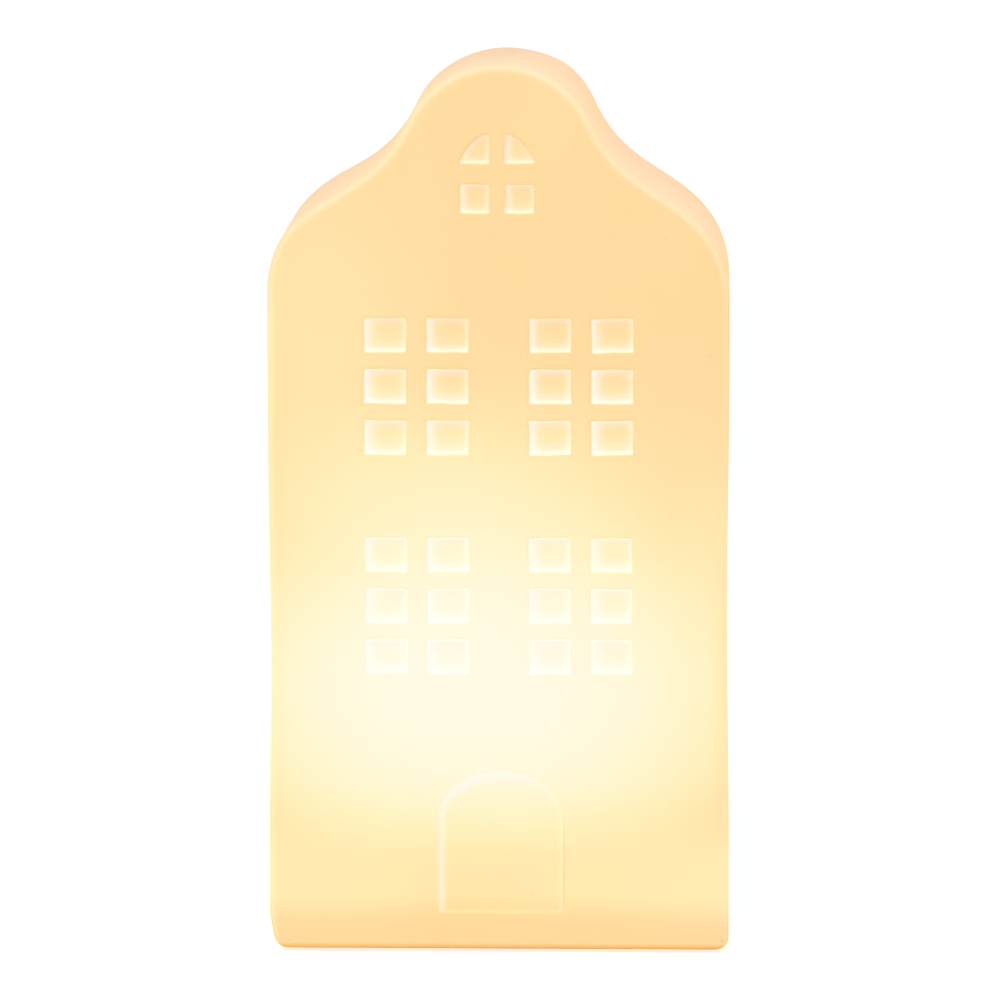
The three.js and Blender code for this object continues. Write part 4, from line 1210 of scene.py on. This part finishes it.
# %% Build the cover, the knob and the wires
strip = soft_line(np.array([(20, -1.6), (20.6, -1.6), (20.6, 7.7), (-20.6, 7.7), (-20.6, -1.6), (-20, -1.6),
                            (-19.4, -1.6), (-19.4, 5.9), (19.4, 5.9), (19.4, -1.6), (20, -1.6)]) * mm,
                  np.array([0.4, 2.2, 2.2, 0.4, 0.1, 0.4, 1.0, 1.0, 0.4]) * mm)
cover_low, cover_high, fin_half, rib_half = 11.2 * mm, 59.8 * mm, 0.6, 0.75
cover = plate(strip, cover_low, cover_high, 0.45 * mm, bent=True)
for x in (-5.75, 5.75):
    cover += rounded_box((x - fin_half, 3.5, 11.3), (x + fin_half, 6.4, 56.1), 0.4, 0.3)
for z in (53.8, 50.8, 47.8, 44.8, 41.8):
    cover += rounded_box((-5.75, 7.3, z - rib_half), (5.75, 8.2, z + rib_half), 0.45, 0.45)
new_piece("pull_cover", cover, "battery_cover", ["battery_cover"], white_plastic)

knob = rounded_box((-0.5, -16.3, 1.1), (3.5, -13.7, 3.8), 0.45, 0.3)
for x in (0.25, 1.5, 2.75):
    knob += rounded_box((x - 0.35, -16.0, 0.7), (x + 0.35, -14.0, 1.8), 0.3, 0.25)
new_piece("slide_knob", knob, "switch_knob", ["switch_knob"], black_plastic)

to_wall = [(2.25, -12.6, 7.0), (4.3125, -10.1, 7.35), (5.75, -8.2, 7.7), (5.75, -5.6, 7.7)]
wire_routes = {
    "wire_positive": [(-8.5, -3, 57.1), (-8.5, -3, 59.3), (-8.5, -3, 61.5)],
    "wire_switch": to_wall + [(8.5, -3.9, 7.1)],
    "wire_board": [(-x, y, z) for x, y, z in to_wall]
                  + [(-5.75, -4.4, height) for height in (8.9, 32.3, 61.5)]}
for name, route in wire_routes.items():
    path = soft_line(np.array(route) * mm, 1.2 * mm, 6)
    slot, sleeve = ("red_sleeve", red_sleeve) if name == "wire_positive" else ("black_sleeve", black_sleeve)
    new_piece(f"soft_{name}", [tube(path, 0.6 * mm, (1.0, 0, 0))], "lamp_unit", [name], sleeve)

# %% [markdown]
# ## Pieces that keep their CAD solid
#
# The housing and the base plate have many holes and pockets, and the parts of the lamp board are tiny blocks
# under the dome. Their solids are right as they are, so they only get a finish. The board is white with gold
# tracks: a ring, and a pad round each small lamp. A small lamp is a white block with a round yellow window,
# and the resistor is black with bright ends.

# %% Materials: the board, the small lamps and the resistor
track_low, track_high, pad_reach, window_reach = 12.2, 13.0, 2.55, 1.05
window_top, resistor_end = 64.0 * mm, 1.15 * mm
soft = 0.05 * mm


def nearest_of(tree, place, places):
    """The distance in millimetres to the nearest of some places, seen from above."""
    x, y, _ = axes_of(tree, place)
    least = 1000.0
    for px, py in places:
        flat = add_node(tree, "CombineXYZ", {"X": sum_of(tree, "SUBTRACT", x, px * mm),
                                             "Y": sum_of(tree, "SUBTRACT", y, py * mm)})
        away = add_node(tree, "VectorMath", {0: flat.outputs[0]}, operation="LENGTH").outputs["Value"]
        least = sum_of(tree, "MINIMUM", least, sum_of(tree, "DIVIDE", away, mm))
    return least


def board_part(name, tooth, plain, other, share_of, gloss, mask="Clouds", glow=None, **constants):
    """A part of the lamp board: two close plain tones, another tone where share_of finds it, and a gloss
    that the tooth varies. The other tone is a metal, unless a glow is given for it."""
    material, tree, shader, place = new_material(name, **constants)
    grain = grain_of(tree, place, tooth)
    share = share_of(tree, place)
    feed(tree, shader, Base_Color=blend_of(tree, share, blend_of(tree, grain[mask], *plain), other),
         Roughness=band_of(tree, grain["Tooth"], 0.3, 0.7, *gloss))
    if glow:
        feed(tree, shader, Emission_Color=blend_of(tree, share, (0, 0, 0), glow))
    else:
        feed(tree, shader, Metallic=share)
    return material


def tracks(tree, place):
    """Where the board's tracks lie: a ring round the middle, and a pad round each lamp."""
    from_middle, from_lamp = nearest_of(tree, place, [(0, 0)]), nearest_of(tree, place, lamp_places)
    ring = sum_of(tree, "MULTIPLY", band_of(tree, from_middle, track_low, track_low + blur),
                  band_of(tree, from_middle, track_high + blur, track_high))
    return sum_of(tree, "MAXIMUM", ring, band_of(tree, from_lamp, pad_reach + blur, pad_reach))


def window(tree, place):
    """Where a small lamp's round window lies: near the lamp's middle, on its top."""
    near = band_of(tree, nearest_of(tree, place, lamp_places), window_reach + blur, window_reach)
    on_top = band_of(tree, axes_of(tree, place)["Z"], window_top, window_top + soft)
    return sum_of(tree, "MULTIPLY", near, on_top)


def bright_ends(tree, place):
    """Where the resistor's bright ends lie."""
    from_middle = sum_of(tree, "ABSOLUTE", axes_of(tree, place)["X"])
    return band_of(tree, from_middle, resistor_end, resistor_end + soft)


board = board_part("lamp_board", 1200.0, ((0.72, 0.72, 0.69), (0.80, 0.80, 0.77)), (0.72, 0.55, 0.26), tracks,
                   (0.30, 0.45), Coat_Weight=0.3, Coat_Roughness=0.3)
lamp_block = board_part("small_lamp", 2500.0, ((0.74, 0.73, 0.70), (0.82, 0.81, 0.78)), (0.85, 0.60, 0.12),
                        window, (0.25, 0.40), glow=(0.9, 0.7, 0.4), Emission_Strength=1.0)
chip_resistor = board_part("chip_resistor", 2500.0, ((0.015, 0.015, 0.016), (0.035, 0.035, 0.036)),
                           (0.66, 0.66, 0.66), bright_ends, (0.25, 0.45), mask="Tooth")

# %% Dress the CAD solids
finishes = [(white_cut, ["unit_housing"]), (black_cut, ["bottom_plate"]), (board, ["led_board"]),
            (steel, ["switch_body", "board_screw_1", "board_screw_2"]),
            (lamp_block, ["led_1", "led_2", "led_3"]), (chip_resistor, ["resistor"])]
for material, names in finishes:
    for name in names:
        for slot in frame["nodes"][name].material_slots:
            slot.material = material
    print(material.name, "on", ", ".join(names))

# %% [markdown]
# ## The floor, the light and the camera
#
# The floor is pale paper, lit so evenly that it runs into the background. It can be looked through from
# below. One large soft light hangs above, a little to the left, and the world gives the rest. A second
# softbox under the floor lights only the few pieces of the underside, which no other light reaches. The
# camera stands just above the middle of the house, two metres away.

# %% Stage: the floor and the world
floor_half = 3.0
corners = [(x * floor_half, y * floor_half, 0) for x, y in ((-1, -1), (1, -1), (1, 1), (-1, 1))]
floor_mesh = bpy.data.meshes.new("floor")
floor_mesh.from_pydata(corners, [], [(0, 1, 2, 3)])
floor = new_object("floor", floor_mesh)
white = (1, 1, 1, 1)


def empty_tree(owner):
    """The node tree of a material or a world, without the nodes that it comes with."""
    owner.use_nodes = True
    owner.node_tree.nodes.clear()
    return owner.node_tree


def strength_of(tree, given, extra=0.65):
    """The strength given to the pieces, with an extra that only the camera sees."""
    return sum_of(tree, "MULTIPLY_ADD", add_node(tree, "LightPath").outputs["Is Camera Ray"], extra, given)


paper = bpy.data.materials.new("floor_paper")
tree = empty_tree(paper)
matt = add_node(tree, "BsdfDiffuse", {"Color": (0.9, 0.9, 0.9, 1)})
bright = add_node(tree, "Emission", {"Color": white, "Strength": strength_of(tree, 0.0)})
both = add_node(tree, "AddShader", {0: matt.outputs[0], 1: bright.outputs[0]})
clear = add_node(tree, "BsdfTransparent")
looked_through = add_node(tree, "NewGeometry").outputs["Backfacing"]
choice = add_node(tree, "MixShader", {0: looked_through, 1: both.outputs[0], 2: clear.outputs[0]})
feed(tree, add_node(tree, "OutputMaterial"), Surface=choice.outputs[0])
floor_mesh.materials.append(paper)

world = bpy.data.worlds.new("studio")
bpy.context.scene.world = world
tree = empty_tree(world)
sky = add_node(tree, "Background", {"Color": white, "Strength": strength_of(tree, 0.45)})
feed(tree, add_node(tree, "OutputWorld"), Surface=sky.outputs[0])
print("floor", 2 * floor_half, "m wide")

# %% Stage: the softboxes


def softbox(name, place, aim, size, power):
    """A square area light at a place, turned so that it shines at a point."""
    lamp = bpy.data.lights.new(name, "AREA")
    lamp.size, lamp.energy = size, power
    box = new_object(name, lamp)
    away = np.array(place) - np.array(aim)
    box.location = place
    box.rotation_euler = (np.arctan2(np.hypot(away[0], away[1]), away[2]), 0, np.arctan2(away[0], -away[1]))
    return box


softbox("softbox_above", (-0.3, -0.5, 1.3), (0, 0, 0.1), 1.0, 9.0)
from_below = softbox("softbox_below", (0.15, -0.25, -0.6), (0, 0, 0), 0.8, 2.2)
lit_from_below = bpy.data.collections.new("seen_from_below")
for piece in bpy.data.objects:
    if piece.name.startswith(("clear_", "rubber_", "pan_screw", "slide_knob", "grip_band", "bottom_plate",
                              "unit_housing")):
        lit_from_below.objects.link(piece)
from_below.light_linking.receiver_collection = lit_from_below
from_below.light_linking.blocker_collection = lit_from_below

# %% Stage: the camera
view_distance, view_height, view_side = 2.0, np.radians(7.4), np.radians(1.6)
aim = np.array([0, 0, 0.120])
pixels_per_mm = 3.6608
aim_pixel = np.array([502.9, 492.9])
image = 1000
camera_data = bpy.data.cameras.new("camera")
camera_data.sensor_width = 36
camera_data.lens = pixels_per_mm * view_distance / mm / image * camera_data.sensor_width
camera_data.shift_x = (image / 2 - aim_pixel[0]) / image
camera_data.shift_y = (aim_pixel[1] - image / 2) / image
camera = new_object("camera", camera_data)
camera.location = aim + view_distance * np.array([
    np.sin(view_side) * np.cos(view_height), -np.cos(view_side) * np.cos(view_height), np.sin(view_height)])
camera.rotation_euler = (np.pi / 2 - view_height, 0, view_side)
bpy.context.scene.camera = camera
bpy.context.scene.view_settings.view_transform = "Standard"
